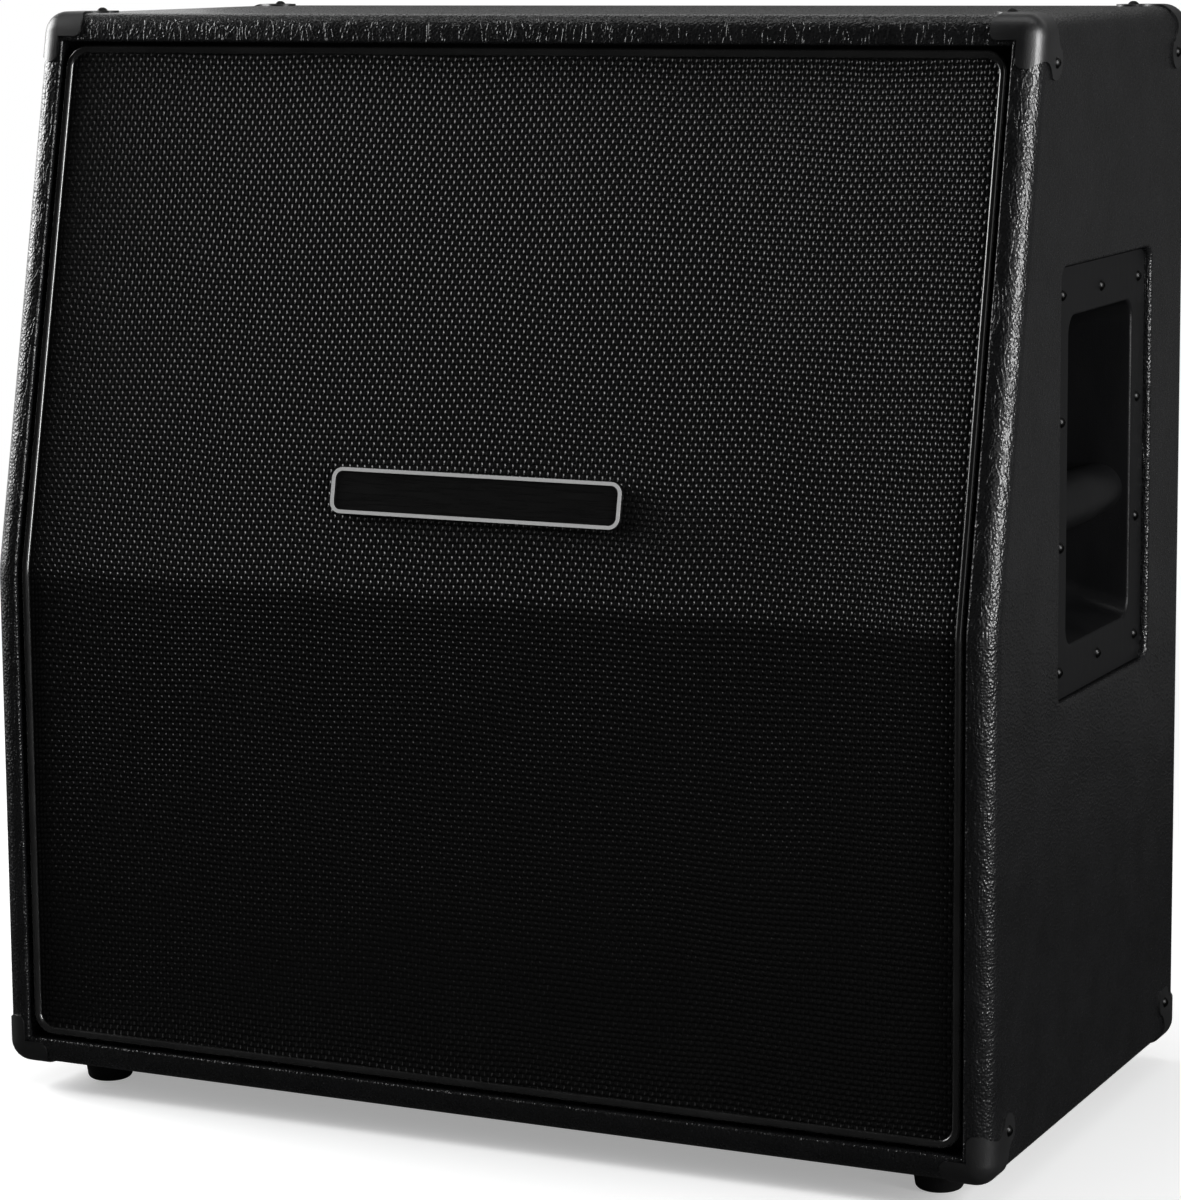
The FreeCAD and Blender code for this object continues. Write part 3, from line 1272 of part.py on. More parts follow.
pad_x = "(Places.frame_half - Sizes.frame_rail / 2)"
pad_spots = [("Places.front + Places.baffle_depth", level, "front")
             for level in spread("Places.inside_low", "Places.batten_bend", "Sizes.pad_margin", 2)]
pad_spots += [(slant_y("Places.baffle_depth", level), level, "slant")
              for level in spread("Places.bend", "Places.inside_high", "Sizes.pad_margin", 2)]
pads = []
for side in SIDES:
    for y, level, facing in pad_spots:
        piece = doc.addObject("Part::Box", "grille_pad")
        for size, name in (("Length", "side"), ("Width", "side"), ("Height", "thickness")):
            piece.setExpression(size, f"Sizes.pad_{name}")
        pads.append(place(piece, f"{side} * {pad_x} - Sizes.pad_side / 2", y, level, facing))
node("grille_pads", group("grille_pads", pads))


def badge():
    """Plain plate with a raised rim, on the slanted cloth just above the bend."""
    body = new_body("badge_plate")
    sketch = outline(body, "XY_Plane", [centred("Sizes.badge_width", "Sizes.badge_height")])
    plate = pad(body, sketch, "Sizes.badge_thickness")
    round_edges(body, plate, "Sizes.badge_corner", lambda e: along(e, Vector(0, 0, 1)))
    field = new_body("badge_field")
    inner = [f"Sizes.badge_{size} - 2 * Sizes.badge_rim" for size in ("width", "height")]
    floor = ("0", "0", "Sizes.badge_thickness - Sizes.badge_sink")
    sunk = pad(field, outline(field, "XY_Plane", [centred(*inner)], shift=floor), "Sizes.badge_thickness")
    round_edges(field, sunk, "Sizes.badge_corner - Sizes.badge_rim", lambda e: along(e, Vector(0, 0, 1)))
    level = "(Places.bend + Sizes.badge_rise)"
    spot = ("0", slant_y("Places.cloth_depth", level), level, "slant")
    return cut("badge_plate", place(body, *spot), place(field, *spot))


node("badge_plate", badge())


# Check every object, then write the sub-parts

doc.recompute()
failed = [o.Label for o in doc.Objects if "Invalid" in o.State or "Error" in o.State]
assert not failed, f"failed objects: {failed}"
for label, item in nodes.items():
    shape = item.Shape
    assert not shape.isNull() and shape.isValid() and shape.Solids, f"bad shape: {label}"

os.makedirs("parts", exist_ok=True)
for label, item in nodes.items():
    item.Shape.exportStep(f"parts/{label}.step")
print(f"{len(nodes)} sub-parts written")
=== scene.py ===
import bmesh
import bpy
import json
import math
from mathutils import Matrix, Vector

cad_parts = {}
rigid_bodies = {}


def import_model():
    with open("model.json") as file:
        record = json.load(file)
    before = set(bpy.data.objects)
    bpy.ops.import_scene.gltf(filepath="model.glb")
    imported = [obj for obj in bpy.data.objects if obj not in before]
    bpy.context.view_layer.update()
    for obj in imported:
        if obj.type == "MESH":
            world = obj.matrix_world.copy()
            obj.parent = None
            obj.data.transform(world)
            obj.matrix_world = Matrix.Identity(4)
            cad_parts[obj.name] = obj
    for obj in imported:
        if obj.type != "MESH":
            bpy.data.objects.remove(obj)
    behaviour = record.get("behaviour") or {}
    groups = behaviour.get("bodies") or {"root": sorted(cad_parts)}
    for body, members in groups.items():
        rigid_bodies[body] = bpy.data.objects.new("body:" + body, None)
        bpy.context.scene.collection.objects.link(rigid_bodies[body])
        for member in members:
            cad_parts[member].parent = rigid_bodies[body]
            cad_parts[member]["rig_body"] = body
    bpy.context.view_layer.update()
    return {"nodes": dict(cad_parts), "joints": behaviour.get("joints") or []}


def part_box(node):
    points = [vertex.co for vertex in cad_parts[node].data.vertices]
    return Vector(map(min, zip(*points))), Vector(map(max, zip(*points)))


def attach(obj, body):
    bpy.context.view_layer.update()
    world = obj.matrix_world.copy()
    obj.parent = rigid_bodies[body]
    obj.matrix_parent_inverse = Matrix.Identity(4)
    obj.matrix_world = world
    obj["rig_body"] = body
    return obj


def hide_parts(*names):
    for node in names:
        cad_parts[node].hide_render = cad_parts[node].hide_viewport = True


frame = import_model()


# Plywood box
# Top, bottom and sides of 18 mm birch plywood, rebated and glued into each other.
# Battens and a brace of the same ply are screwed inside, and all of it stays bare.

def finish(name, roughness, specular, metallic=0.0):
    """New material whose constant values sit on the shader's own sockets."""
    material = bpy.data.materials.new(name)
    material.use_nodes = True
    shader = material.node_tree.nodes["Principled BSDF"]
    shader.inputs["Roughness"].default_value = roughness
    shader.inputs["Specular IOR Level"].default_value = specular
    shader.inputs["Metallic"].default_value = metallic
    return material


def node(material, kind, inputs=None, **settings):
    """One shader node of a material; an input is a value, or an output to link."""
    item = material.node_tree.nodes.new(f"ShaderNode{kind}")
    for name, value in settings.items():
        setattr(item, name, value)
    for name, value in (inputs or {}).items():
        if isinstance(value, bpy.types.NodeSocket):
            material.node_tree.links.new(value, item.inputs[name])
        else:
            item.inputs[name].default_value = value
    return item


def paint(material, **sockets):
    """Links outputs to the shader, by the names of its sockets."""
    shader = material.node_tree.nodes["Principled BSDF"]
    for name, output in sockets.items():
        material.node_tree.links.new(output, shader.inputs[name.replace("_", " ")])


def spot(material, scale=(1, 1, 1), turn=(0, 0, 0), shift=(0, 0, 0)):
    """Object coordinates in metres, stretched, turned and moved for a pattern."""
    coordinates = node(material, "TexCoord").outputs["Object"]
    inputs = {"Vector": coordinates, "Scale": scale, "Rotation": turn, "Location": shift}
    return node(material, "Mapping", inputs).outputs[0]


def clouds(material, where, scale, detail=4.0, roughness=0.55, distortion=0.0):
    """Cloudy noise from 0 to 1."""
    inputs = {"Vector": where, "Scale": scale, "Detail": detail, "Roughness": roughness,
              "Distortion": distortion}
    return node(material, "TexNoise", inputs).outputs["Fac"]


def ramp(material, factor, *stops):
    """Colour ramp through (position, grey or colour) stops."""
    item = node(material, "ValToRGB", {"Fac": factor})
    elements = item.color_ramp.elements
    while len(elements) < len(stops):
        elements.new(0.5)
    for element, (position, colour) in zip(elements, stops):
        grey = isinstance(colour, (int, float))
        element.position = position
        element.color = (colour, colour, colour, 1) if grey else (*colour, 1)
    return item.outputs["Color"]


def sums(material, operation, first, second=0.0):
    """Result of one Math node."""
    return node(material, "Math", {0: first, 1: second}, operation=operation).outputs[0]


def relief(material, *layers):
    """Bump from (height, depth in metres) layers, each on top of the one before."""
    normal = None
    for height, depth in layers:
        inputs = {"Height": height, "Distance": depth}
        if normal:
            inputs["Normal"] = normal
        normal = node(material, "Bump", inputs).outputs[0]
    paint(material, Normal=normal)


def birch(name, grain):
    """Bare birch veneer with its grain along one axis."""
    material = finish(name, 0.6, 0.3)
    across, lengthwise = 42.0, 3.0
    late_wood, early_wood = (0.36, 0.235, 0.12), (0.6, 0.44, 0.26)
    fibre_depth = 0.0004
    where = spot(material, [lengthwise if axis == grain else across for axis in "XYZ"])
    figure = clouds(material, where, 1.0, detail=6.0, roughness=0.62, distortion=0.6)
    fibres = clouds(material, where, 14.0, detail=3.0)
    paint(material, Base_Color=ramp(material, figure, (0.3, late_wood), (0.7, early_wood)),
          Roughness=ramp(material, fibres, (0.3, 0.5), (0.7, 0.72)))
    relief(material, (fibres, fibre_depth))
    return material


def keep(cad_node, material):
    """Gives a flat-sided CAD node its finish and leaves its mesh as it is."""
    slots = frame["nodes"][cad_node].material_slots
    if slots:
        slots[0].material = material
    else:
        frame["nodes"][cad_node].data.materials.append(material)


upright_birch = birch("birch_upright", "Z")
level_birch = birch("birch_level", "X")
for board in ("left_side_panel", "right_side_panel", "front_battens"):
    keep(board, upright_birch)
for board in ("top_panel", "bottom_panel", "back_panel", "rear_battens"):
    keep(board, level_birch)
keep("centre_brace", birch("birch_brace", "Y"))


# Vinyl covering
# Black cloth-backed vinyl, glued round the box and turned into both openings.
# Pressed with a fine leather grain, it draws into creases where it is pulled round the front edges.

def smooth_copy(cad_node, material, slot, crease=32, soften=None):
    """Copy of a CAD node with joined triangles and smooth round faces, which stands for the node."""
    mesh = frame["nodes"][cad_node].data.copy()
    if "custom_normal" in mesh.attributes:
        mesh.attributes.remove(mesh.attributes["custom_normal"])
    shape = bmesh.new()
    shape.from_mesh(mesh)
    bmesh.ops.remove_doubles(shape, verts=shape.verts, dist=1e-6)
    if soften:
        soften(shape)
    for face in shape.faces:
        face.smooth = True
    shape.to_mesh(mesh)
    shape.free()
    mesh.set_sharp_from_angle(angle=math.radians(crease))
    mesh.materials.clear()
    mesh.materials.append(material)
    piece = bpy.data.objects.new(f"{cad_node}_finish", mesh)
    piece.modifiers.new("flat_faces_stay_flat", "WEIGHTED_NORMAL").keep_sharp = True
    return fitted(piece, frame["nodes"][cad_node]["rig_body"], slot, cad_node)


def fitted(piece, body, slot, *cad_nodes):
    """Puts a piece in the scene, on its body, for the CAD nodes that it stands for."""
    bpy.context.scene.collection.objects.link(piece)
    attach(piece, body)
    if cad_nodes:
        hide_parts(*cad_nodes)
    return piece


def creases(material, lean, across, along):
    """Narrow ridges of drawn vinyl that run up the front, leaning to one side by some degrees."""
    ridge_width = 0.04
    where = spot(material, (across, across, along), (0, math.radians(lean), 0))
    drawn = clouds(material, where, 1.0, detail=2.0, roughness=0.5, distortion=0.6)
    apart = sums(material, "ABSOLUTE", sums(material, "SUBTRACT", drawn, 0.5))
    inputs = {"Value": apart, "From Max": ridge_width, "To Min": 1.0, "To Max": 0.0}
    return node(material, "MapRange", inputs, interpolation_type="SMOOTHSTEP").outputs[0]


def grained_vinyl():
    """Black vinyl with a pebbled grain all over, and creases on the faces that look forwards."""
    material = finish("black_vinyl", 0.26, 0.5)
    pebbles_per_metre = 540.0
    dull_black, clear_black = (0.0042, 0.0043, 0.0046), (0.0064, 0.0065, 0.007)
    wave_depth, crease_depth, grain_depth = 0.003, 0.00015, 0.0004
    where = spot(material)
    cells = node(material, "TexVoronoi", {"Vector": where, "Scale": pebbles_per_metre, "Smoothness": 0.5},
                 feature="SMOOTH_F1").outputs["Distance"]
    pebbles = sums(material, "SUBTRACT", 1.0, cells)
    waves = clouds(material, where, 9.0, detail=2.0)
    patches = clouds(material, where, 30.0, detail=5.0)
    normal = node(material, "TexCoord").outputs["Normal"]
    facing = node(material, "SeparateXYZ", {0: normal}).outputs["Y"]
    on_front = node(material, "MapRange", {"Value": facing, "From Min": -0.2, "From Max": -0.75}).outputs[0]
    to_the_right = creases(material, lean=9, across=120, along=26)
    to_the_left = creases(material, lean=-14, across=90, along=22)
    drawn = sums(material, "MULTIPLY", sums(material, "MAXIMUM", to_the_right, to_the_left), on_front)
    paint(material, Base_Color=ramp(material, patches, (0.3, dull_black), (0.7, clear_black)),
          Roughness=ramp(material, pebbles, (0.45, 0.31), (0.85, 0.17)))
    relief(material, (waves, wave_depth), (drawn, crease_depth), (pebbles, grain_depth))
    return material


def fold(shape, low, high, facing, radius, segments):
    """Rounds the sharp outward edges of the faces that face one way in a box."""
    sharp = math.radians(60)

    def inside(vert):
        return all(a <= c <= b for a, c, b in zip(low, vert.co, high))

    edges = [edge for edge in shape.edges if edge.is_manifold and edge.is_convex
             and edge.calc_face_angle() > sharp and all(map(inside, edge.verts))
             and any(face.normal.dot(facing) > 0.9 for face in edge.link_faces)]
    bmesh.ops.bevel(shape, geom=edges, offset=radius, segments=segments, profile=0.5,
                    affect="EDGES", material=-1)


def folded_edges(shape):
    """Rounds the vinyl where it is folded into the front opening and into the recesses of the handles."""
    bmesh.ops.dissolve_limit(shape, angle_limit=math.radians(0.5), verts=shape.verts, edges=shape.edges)
    beside = 0.003
    front_radius, recess_radius = 0.0024, 0.0033
    forwards = Vector((0, -1, 0))
    low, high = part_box("vinyl_covering")
    bead_low, bead_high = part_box("grille_piping")
    fold(shape, (bead_low[0] - beside, low[1], bead_low[2] - beside),
         (bead_high[0] + beside, bead_high[1], bead_high[2] + beside), forwards, front_radius, segments=4)
    for hand in ("left", "right"):
        plate_low, plate_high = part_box(f"{hand}_handle")
        side = max(plate_low[0], plate_high[0], key=abs)
        outwards = Vector((math.copysign(1, side), 0, 0))
        reach = sorted((side, math.copysign(high[0] + beside, side)))
        fold(shape, (reach[0], plate_low[1] - beside, plate_low[2] - beside),
             (reach[1], plate_high[1] + beside, plate_high[2] + beside), outwards, recess_radius, segments=5)
    bmesh.ops.triangulate(shape, faces=shape.faces)


vinyl = grained_vinyl()
smooth_copy("vinyl_covering", vinyl, "vinyl", soften=folded_edges)
smooth_copy("back_vinyl", vinyl, "vinyl")


# Loudspeakers
# Four drivers in pressed and painted steel baskets: paper cones on doped rolled edges, amber spiders,
# copper coils in a ferrite magnet between zinc-plated plates. They are bolted to the baffle from behind.

def mottled(name, dark, light, roughness, specular, grain, depth, metallic=0.0):
    """Plain finish with a slight mottle in colour and gloss, and a grain of a given size."""
    material = finish(name, roughness, specular, metallic)
    where = spot(material)
    mottle = clouds(material, where, 35.0, detail=5.0)
    fine = clouds(material, where, 1 / grain, detail=2.0)
    paint(material, Base_Color=ramp(material, mottle, (0.3, dark), (0.7, light)),
          Roughness=ramp(material, mottle, (0.3, roughness * 0.85), (0.7, roughness * 1.15)))
    relief(material, (fine, depth))
    return material


dark_amber, pale_amber = (0.3, 0.19, 0.06), (0.42, 0.28, 0.1)
SPEAKER_FINISHES = {
    "speaker_baskets": ("basket", mottled(
        "basket_paint", 0.02, 0.03, roughness=0.42, specular=0.5, grain=0.0012, depth=0.0001)),
    "speaker_gaskets": ("gasket", mottled(
        "gasket_felt", 0.03, 0.055, roughness=0.95, specular=0.1, grain=0.0008, depth=0.0004)),
    "speaker_surrounds": ("surround", mottled(
        "doped_edge", 0.012, 0.022, roughness=0.45, specular=0.4, grain=0.001, depth=0.0001)),
    "speaker_spiders": ("spider", mottled(
        "varnished_cloth", dark_amber, pale_amber, roughness=0.6, specular=0.4, grain=0.0007, depth=0.0002)),
    "top_plates": ("steel", mottled(
        "zinc_plate", 0.38, 0.5, roughness=0.32, specular=0.5, grain=0.002, depth=0.00005, metallic=1.0)),
    "pole_yokes": ("steel", mottled(
        "zinc_yoke", 0.36, 0.48, roughness=0.34, specular=0.5, grain=0.002, depth=0.00005, metallic=1.0)),
    "ring_magnets": ("magnet", mottled(
        "ferrite", 0.03, 0.05, roughness=0.7, specular=0.3, grain=0.0015, depth=0.0003)),
    "speaker_bolts": ("bolt", mottled(
        "bolt_steel", 0.4, 0.5, roughness=0.35, specular=0.5, grain=0.001, depth=0.00005, metallic=1.0)),
    "tee_nuts": ("bolt", mottled(
        "nut_steel", 0.42, 0.52, roughness=0.35, specular=0.5, grain=0.001, depth=0.00005, metallic=1.0)),
}
for cad_node, (slot, material) in SPEAKER_FINISHES.items():
    smooth_copy(cad_node, material, slot)


def cone_paper(seat, axis):
    """Dark paper pulp with pressed rings about the speaker's own axis."""
    low, high = (Vector(corner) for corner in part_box(f"cone_{seat}"))
    material = finish(f"cone_paper_{seat}", 0.85, 0.2)
    where = spot(material)
    offset = node(material, "VectorMath", {0: where, 1: (low + high) / 2}, operation="SUBTRACT").outputs[0]
    across = node(material, "VectorMath", {0: offset, 1: axis}, operation="CROSS_PRODUCT").outputs[0]
    radius = node(material, "VectorMath", {0: across}, operation="LENGTH").outputs["Value"]
    ring_pitch, ring_depth, pulp_depth = 0.0085, 0.0005, 0.0005
    dark_pulp, pale_pulp = (0.022, 0.021, 0.02), (0.042, 0.04, 0.038)
    rings = sums(material, "SINE", sums(material, "MULTIPLY", radius, 2 * math.pi / ring_pitch))
    pulp = clouds(material, where, 420.0, detail=5.0, roughness=0.7)
    paint(material, Base_Color=ramp(material, pulp, (0.3, dark_pulp), (0.75, pale_pulp)),
          Roughness=ramp(material, pulp, (0.3, 0.75), (0.7, 0.95)))
    relief(material, (rings, ring_depth), (pulp, pulp_depth))
    return material


coil_copper = mottled("coil_copper", (0.5, 0.22, 0.1), (0.6, 0.3, 0.14), roughness=0.35, specular=0.5,
                      grain=0.0006, depth=0.0001, metallic=1.0)
cap_felt = mottled("dust_cap_felt", 0.018, 0.03, roughness=0.9, specular=0.15, grain=0.0009, depth=0.0003)
for joint in frame["joints"]:
    if joint["name"].startswith("cone_"):
        seat = joint["name"].removeprefix("cone_").removesuffix("_travel")
        smooth_copy(f"cone_{seat}", cone_paper(seat, joint["axis"]), "paper")
        smooth_copy(f"dust_cap_{seat}", cap_felt, "paper")
        smooth_copy(f"voice_coil_{seat}", coil_copper, "coil")
red_sleeve = mottled("lead_sleeve", (0.16, 0.012, 0.012), (0.22, 0.02, 0.02), roughness=0.5, specular=0.4,
                     grain=0.002, depth=0.0001)
smooth_copy("speaker_leads", red_sleeve, "lead")


# Baffle boards
# Two plywood boards that meet at the bend, painted matt black so that they don't show through the cloth.
# Long screws hold them to the front battens.

black_paint = mottled("baffle_paint", 0.007, 0.011, roughness=0.8, specular=0.2, grain=0.0015, depth=0.0003)
for board in ("upper_baffle", "lower_baffle"):
    keep(board, black_paint)
dark_screw = mottled("blackened_screw", 0.016, 0.03, roughness=0.34, specular=0.5,
                     grain=0.0008, depth=0.00006, metallic=1.0)
smooth_copy("baffle_screws", dark_screw, "screw")


# Back and jack plate
# The covered back panel is screwed to the rear battens. A painted steel plate on it
# carries two moulded sockets, each held by a plated nut.

plate_enamel = mottled("plate_enamel", 0.012, 0.018, roughness=0.4, specular=0.5,
                       grain=0.0012, depth=0.00015)
socket_plastic = mottled("socket_plastic", 0.01, 0.015, roughness=0.3, specular=0.5,
                         grain=0.001, depth=0.00005)
plated_nut = mottled("plated_nut", 0.6, 0.7, roughness=0.18, specular=0.5,
                     grain=0.002, depth=0.00003, metallic=1.0)
smooth_copy("back_panel_screws", dark_screw, "screw")
smooth_copy("jack_plate", plate_enamel, "jack_plate")
smooth_copy("jack_plate_screws", dark_screw, "screw")
smooth_copy("jack_sockets", socket_plastic, "jack")
smooth_copy("jack_nuts", plated_nut, "nut")


# Side handles
# Each is one moulding of satin black plastic: a flange, a dish with a sloping floor and a barrel grip.
# Ten domed screws hold its flange in a shallow recess of the side.

def satin_plastic():
    """Moulded black plastic with flow marks up and down, and a fine stipple."""
    material = finish("handle_plastic", 0.38, 0.2)
    deep_black, pale_black = (0.0036, 0.0037, 0.004), (0.0056, 0.0057, 0.0061)
    flow_depth, stipple_depth = 0.0006, 0.00012
    stipple = clouds(material, spot(material), 1300.0, detail=2.0)
    flow = clouds(material, spot(material, (22, 22, 7)), 1.0)
    paint(material, Base_Color=ramp(material, flow, (0.3, deep_black), (0.7, pale_black)),
          Roughness=ramp(material, flow, (0.25, 0.3), (0.75, 0.44)))
    relief(material, (flow, flow_depth), (stipple, stipple_depth))
    return material


handle_plastic = satin_plastic()
for hand in ("left", "right"):
    smooth_copy(f"{hand}_handle", handle_plastic, "handle")
smooth_copy("handle_screws", dark_screw, "screw")


# Corner protectors
# Eight thin mouldings of stippled black plastic over the corners of the vinyl.
# Each has a lobe on its closed faces for a domed screw.

corner_plastic = mottled("corner_plastic", (0.006, 0.0061, 0.0064), (0.009, 0.0091, 0.0096),
                         roughness=0.4, specular=0.8, grain=0.0009, depth=0.00012)
for end in ("bottom_front", "top_front", "bottom_rear", "top_rear"):
    smooth_copy(f"{end}_corners", corner_plastic, "corner")
smooth_copy("corner_screws", dark_screw, "screw")


# Feet
# Four moulded feet of black rubber under the bottom panel.
# One screw through a counterbore holds each.

foot_rubber = mottled("foot_rubber", 0.004, 0.007, roughness=0.85, specular=0.12, grain=0.0012, depth=0.0002)
for end in ("front", "rear"):
    for hand in ("left", "right"):
        smooth_copy(f"{end}_{hand}_foot", foot_rubber, "rubber")
smooth_copy("foot_screws", dark_screw, "screw")


# Grille frame and pads
# A plywood frame with a cross rail at the bend, painted black.
# Hook-and-loop pads glued to its back hold it to the baffle, so that it pulls off.

frame_paint = mottled("frame_paint", 0.008, 0.012, roughness=0.75, specular=0.2,
                      grain=0.0015, depth=0.0003)
hook_and_loop = mottled("hook_and_loop", 0.006, 0.014, roughness=0.98, specular=0.05,
                        grain=0.0012, depth=0.0012)
keep("grille_frame", frame_paint)
keep("grille_pads", hook_and_loop)


# Grille cloth
# A plain weave of coated black yarn, stretched over the bent frame and stapled behind it.
# Upright yarns lie closer than level ones. Each crossing stands up as a small round crown,
# glossy where the level yarn is on top and lower and matt where the upright yarn is.

upper_axis = next(joint["axis"] for joint in frame["joints"] if joint["name"] == "cone_upper_right_travel")
slant = math.atan2(upper_axis[2], -upper_axis[1])
bend_z = 0.3845
bend_round = 0.03
yarn_pitch_x = 0.0029
yarn_pitch_z = 0.0039


def cloth_profile(low, high, front):
    """Arc length and (y, z) function of the cloth's side view, rounded at the bend."""
    tangent = bend_round * math.tan(slant / 2)
    lower = bend_z - tangent - low
    around = bend_round * slant
    upper = (high - bend_z) / math.cos(slant) - tangent

    def at(length):
        if length < lower:
            return front, low + length
        if length < lower + around:
            angle = (length - lower) / bend_round
            return front + bend_round * (1 - math.cos(angle)), low + lower + bend_round * math.sin(angle)
        rest = length - lower - around
        y = front + bend_round * (1 - math.cos(slant)) + rest * math.sin(slant)
        return y, low + lower + bend_round * math.sin(slant) + rest * math.cos(slant)

    return lower + around + upper, at


def stretched_cloth():
    """Cloth as a thin sheet with its own UV map in metres along its yarns."""
    low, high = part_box("grille_cloth")
    half, thickness = high[0], 0.0009
    length, at = cloth_profile(low[2], high[2], low[1])
    shape = bmesh.new()
    bmesh.ops.create_grid(shape, x_segments=48, y_segments=120, size=1)
    uv_layer = shape.loops.layers.uv.new("yarns")
    for vert in shape.verts:
        along = (vert.co.y + 1) / 2 * length
        vert.co = (vert.co.x * half, along, 0)
    for face in shape.faces:
        for loop in face.loops:
            loop[uv_layer].uv = loop.vert.co.xy
    for vert in shape.verts:
        y, z = at(vert.co.y)
        vert.co = (vert.co.x, y, z)
    bmesh.ops.recalc_face_normals(shape, faces=shape.faces)
    if sum(face.normal.y for face in shape.faces) > 0:
        bmesh.ops.reverse_faces(shape, faces=shape.faces)
    bmesh.ops.solidify(shape, geom=shape.faces[:], thickness=thickness)
    for face in shape.faces:
        face.smooth = True
    mesh = bpy.data.meshes.new("grille_cloth_sheet")
    shape.to_mesh(mesh)
    shape.free()
    mesh.set_sharp_from_angle(angle=math.radians(40))
    return bpy.data.objects.new("grille_cloth_sheet", mesh), (2 * half, length)


def woven_yarn():
    """Crowns of a plain weave on the cloth's own UV map, with yarns that wander a little, and painted shade
    darkening the valleys between the crowns.
    """
    material = finish("woven_yarn", 0.3, 0.2)
    yarn_wander = (0.004, 0.008, 0)
    upright_share = 0.6
    crown_height, fibre_depth = 0.00095, 0.00005
    threads = node(material, "UVMap", uv_map="yarns").outputs[0]
    drift = node(material, "TexNoise", {"Vector": threads, "Scale": 9.0, "Detail": 1.0}).outputs["Color"]
    centred = node(material, "VectorMath", {0: drift, 1: (0.5, 0.5, 0.5)}, operation="SUBTRACT").outputs[0]
    wander = node(material, "VectorMath", {0: centred, 1: yarn_wander}, operation="MULTIPLY").outputs[0]
    laid = node(material, "VectorMath", {0: threads, 1: wander}, operation="ADD").outputs[0]
    axes = node(material, "SeparateXYZ", {0: laid}).outputs
    across = sums(material, "SINE", sums(material, "MULTIPLY", axes["X"], math.pi / yarn_pitch_x))
    upward = sums(material, "SINE", sums(material, "MULTIPLY", axes["Y"], math.pi / yarn_pitch_z))
    level_crowns = sums(material, "MULTIPLY", across, upward)
    upright_crowns = sums(material, "MULTIPLY", level_crowns, -upright_share)
    heights = sums(material, "MAXIMUM", level_crowns, upright_crowns)
    fibres = clouds(material, threads, 900.0, detail=2.0)
    # The base colour falls from the crowns into the valleys: painted shade between the yarns, not a dye.
    paint(material, Base_Color=ramp(material, heights, (0.3, 0.0002), (1.0, 0.005)),
          Roughness=ramp(material, level_crowns, (0.0, 1.0), (0.12, 0.16)))
    relief(material, (heights, crown_height), (fibres, fibre_depth))
    return material


cloth, cut_size = stretched_cloth()
cloth.data.materials.append(woven_yarn())
fitted(cloth, "grille", "cloth", "grille_cloth")


# Piping
# A round bead of glossy black vinyl along the edge of the grille.
# It is closed into a loop, bent with the front and glued along the frame.

piping_vinyl = mottled("piping_vinyl", 0.008, 0.012, roughness=0.19, specular=0.95,
                       grain=0.003, depth=0.00002)
smooth_copy("grille_piping", piping_vinyl, "piping", crease=60)


# Badge
# A plain moulded plate fixed flat on the slanted cloth.
# Its sunk field is black, and its raised rim is bright.

def badge_finish():
    """Black field and bright rim, told apart by their height over the cloth."""
    material = finish("badge_plate", 0.3, 0.5)
    rim_level, rim_edge = 0.001, 0.0002
    field_black, rim_silver = 0.005, 0.55
    brush_depth = 0.00005
    low, high = (Vector(corner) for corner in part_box("badge_plate"))
    where = spot(material)
    offset = node(material, "VectorMath", {0: where, 1: (low + high) / 2}, operation="SUBTRACT").outputs[0]
    raised = node(material, "VectorMath", {0: offset, 1: upper_axis}, operation="DOT_PRODUCT")
    rim = node(material, "MapRange", {"Value": raised.outputs["Value"], "From Min": rim_level - rim_edge,
                                      "From Max": rim_level + rim_edge}).outputs[0]
    brushed = clouds(material, spot(material, (30, 900, 900)), 1.0, detail=3.0)
    paint(material, Base_Color=ramp(material, rim, (0.0, field_black), (1.0, rim_silver)),
          Roughness=ramp(material, brushed, (0.3, 0.22), (0.7, 0.36)))
    relief(material, (brushed, brush_depth))
    return material


smooth_copy("badge_plate", badge_finish(), "badge")


# Studio
# A pale floor and a white surround, with a weak softbox overhead. Softboxes at the left glint on the crowns
# of the cloth, and a tall one at the right draws the rolled edge. Dark cards stand where the gloss
# of the black cabinet would mirror the surround; their faint glow is a painted reflection of the light they
# would catch.

def seen(material):
    """1 for rays that show the background: from the camera, off gloss or through glass."""
    rays = node(material, "LightPath").outputs
    direct = sums(material, "MAXIMUM", rays["Is Camera Ray"], rays["Is Glossy Ray"])
    return sums(material, "MAXIMUM", direct, rays["Is Transmission Ray"])


def pale_floor():
    """Pale matt floor, lifted to white where the background shows, so that it keeps the shadow."""
    material = finish("pale_floor", 0.9, 0.0)
    away = node(material, "VectorMath", {0: spot(material)}, operation="LENGTH").outputs["Value"]
    far = node(material, "MapRange", {"Value": away, "From Min": 0.8, "From Max": 2.4},
               interpolation_type="SMOOTHSTEP").outputs[0]
    lift = node(material, "MapRange", {"Value": far, "To Min": 0.34, "To Max": 1.0}).outputs[0]
    paint(material, Base_Color=ramp(material, far, (0.0, 0.85), (1.0, 0.0)),
          Emission_Strength=sums(material, "MULTIPLY", seen(material), lift))
    material.node_tree.nodes["Principled BSDF"].inputs["Emission Color"].default_value = (1, 1, 1, 1)
    return material


floor_shape = bmesh.new()
bmesh.ops.create_circle(floor_shape, cap_ends=True, segments=96, radius=7.0)
floor_mesh = bpy.data.meshes.new("studio_floor")
floor_shape.to_mesh(floor_mesh)
floor_shape.free()
floor_mesh.materials.append(pale_floor())
floor = bpy.data.objects.new("studio_floor", floor_mesh)
bpy.context.scene.collection.objects.link(floor)

ambient = 0.2
world = bpy.data.worlds.new("white_surround")
world.use_nodes = True
bpy.context.scene.world = world
level = node(world, "MapRange", {"Value": seen(world), "To Min": ambient, "To Max": 1.0}).outputs[0]
world.node_tree.links.new(level, world.node_tree.nodes["Background"].inputs["Strength"])
world.node_tree.nodes["Background"].inputs["Color"].default_value = (1, 1, 1, 1)


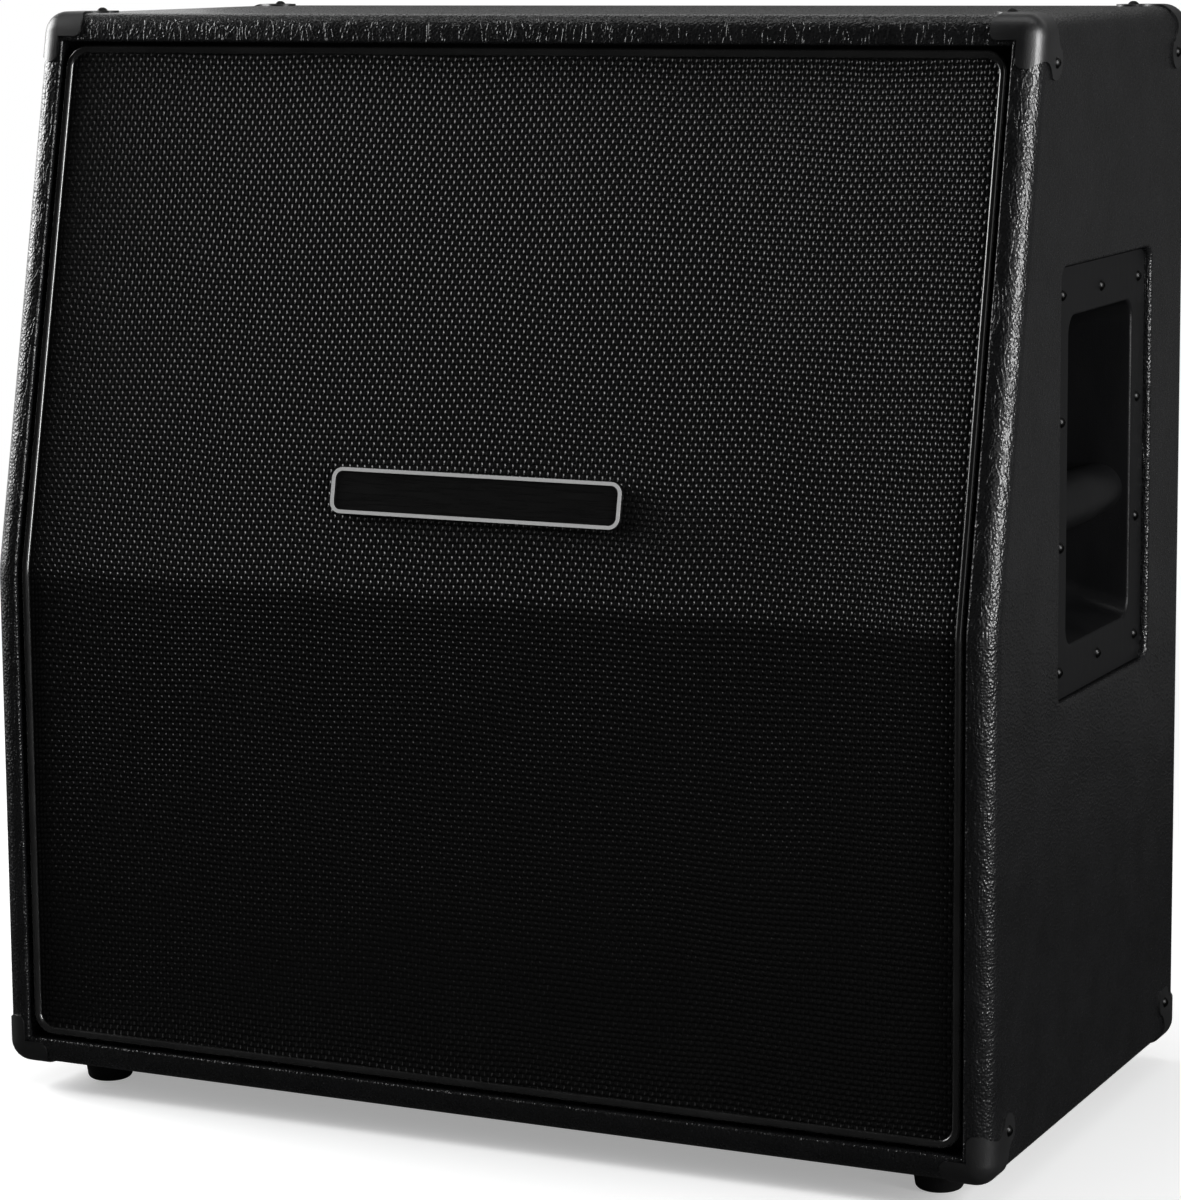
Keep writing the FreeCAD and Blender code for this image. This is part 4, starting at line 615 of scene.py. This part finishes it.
def softbox(name, place, target, width, height, power):
    """Area lamp that points at a target and isn't seen itself."""
    lamp = bpy.data.lights.new(name, "AREA")
    lamp.shape = "RECTANGLE"
    lamp.size = width
    lamp.size_y = height
    lamp.energy = power
    item = bpy.data.objects.new(name, lamp)
    aim = Vector(target) - Vector(place)
    item.matrix_world = Matrix.Translation(place) @ aim.to_track_quat("-Z", "Y").to_matrix().to_4x4()
    item.visible_camera = False
    bpy.context.scene.collection.objects.link(item)


softbox("overhead_softbox", (0, 0.02, 2.5), (0, 0.02, 0), width=2.4, height=0.45, power=8)
softbox("right_softbox", (2.3, -0.6, 0.95), (0.38, -0.15, 0.6), width=0.45, height=1.4, power=54)
softbox("left_softbox", (-2.3, -0.1, 1.35), (-0.38, -0.15, 0.6), width=1.3, height=1.3, power=66)
softbox("low_left_softbox", (-2.3, -0.4, 0.42), (-0.38, -0.2, 0.3), width=1.0, height=0.55, power=3)


def grey_card(name, centre, facing, width, height, painted_glow):
    """Card that hides the white surround from the cabinet's gloss; it shows in reflections alone, with a
    painted glow for the light it would catch.
    """
    shape = bmesh.new()
    bmesh.ops.create_grid(shape, x_segments=1, y_segments=1, size=0.5)
    bmesh.ops.scale(shape, vec=(width, height, 1), verts=shape.verts)
    turn = Vector(facing).to_track_quat("Z", "Y").to_matrix().to_4x4()
    bmesh.ops.transform(shape, matrix=Matrix.Translation(centre) @ turn, verts=shape.verts)
    mesh = bpy.data.meshes.new(name)
    shape.to_mesh(mesh)
    shape.free()
    material = finish(name, 1.0, 0.0)
    shader = material.node_tree.nodes["Principled BSDF"]
    shader.inputs["Base Color"].default_value = (0, 0, 0, 1)
    shader.inputs["Emission Color"].default_value = (1, 1, 1, 1)
    # The emission is a painted glow that stands for the light a lit card would give back.
    shader.inputs["Emission Strength"].default_value = painted_glow
    mesh.materials.append(material)
    card = bpy.data.objects.new(name, mesh)
    card.visible_camera = card.visible_diffuse = card.visible_transmission = card.visible_shadow = False
    bpy.context.scene.collection.objects.link(card)


grey_card("front_card", (-0.9, -2.1, 1.4), facing=(0.42, 0.9, 0), width=7.0, height=4.0, painted_glow=0.012)
grey_card("left_card", (-3.0, -1.2, 1.4), facing=(1, 0, 0), width=3.0, height=5.0, painted_glow=0.03)
grey_card("right_card", (3.0, -0.8, 1.4), facing=(-1, 0, 0), width=4.0, height=4.0, painted_glow=0.03)
grey_card("ceiling_card", (0, -0.4, 2.9), facing=(0, 0, -1), width=7.0, height=5.0, painted_glow=0.03)
grey_card("rear_card", (0.6, 1.4, 0.8), facing=(-0.3, -0.95, 0), width=4.5, height=1.6, painted_glow=0.09)
grey_card("floor_card", (0, 0, 0.001), facing=(0, 0, 1), width=5.0, height=5.0, painted_glow=0.02)

bpy.context.scene.view_settings.view_transform = "Standard"


# Camera
# Stands to the right of the front, a little above the cabinet's top, with a long lens.
# Its place and angles were fitted to the cabinet's corners and edges.

focal_pixels = 3962
photo_height = 1200
lens = bpy.data.cameras.new("photo_camera")
lens.sensor_width = 36
lens.lens = lens.sensor_width * focal_pixels / photo_height
lens.shift_y = -0.06
camera = bpy.data.objects.new("photo_camera", lens)
camera_place = (1.2079, -2.5638, 0.8304)
swing, tilt, roll = (math.radians(angle) for angle in (25.24, 81.5, -0.45))
camera.matrix_world = (Matrix.Translation(camera_place) @ Matrix.Rotation(swing, 4, "Z")
                       @ Matrix.Rotation(tilt, 4, "X") @ Matrix.Rotation(roll, 4, "Z"))
bpy.context.scene.collection.objects.link(camera)
bpy.context.scene.camera = camera
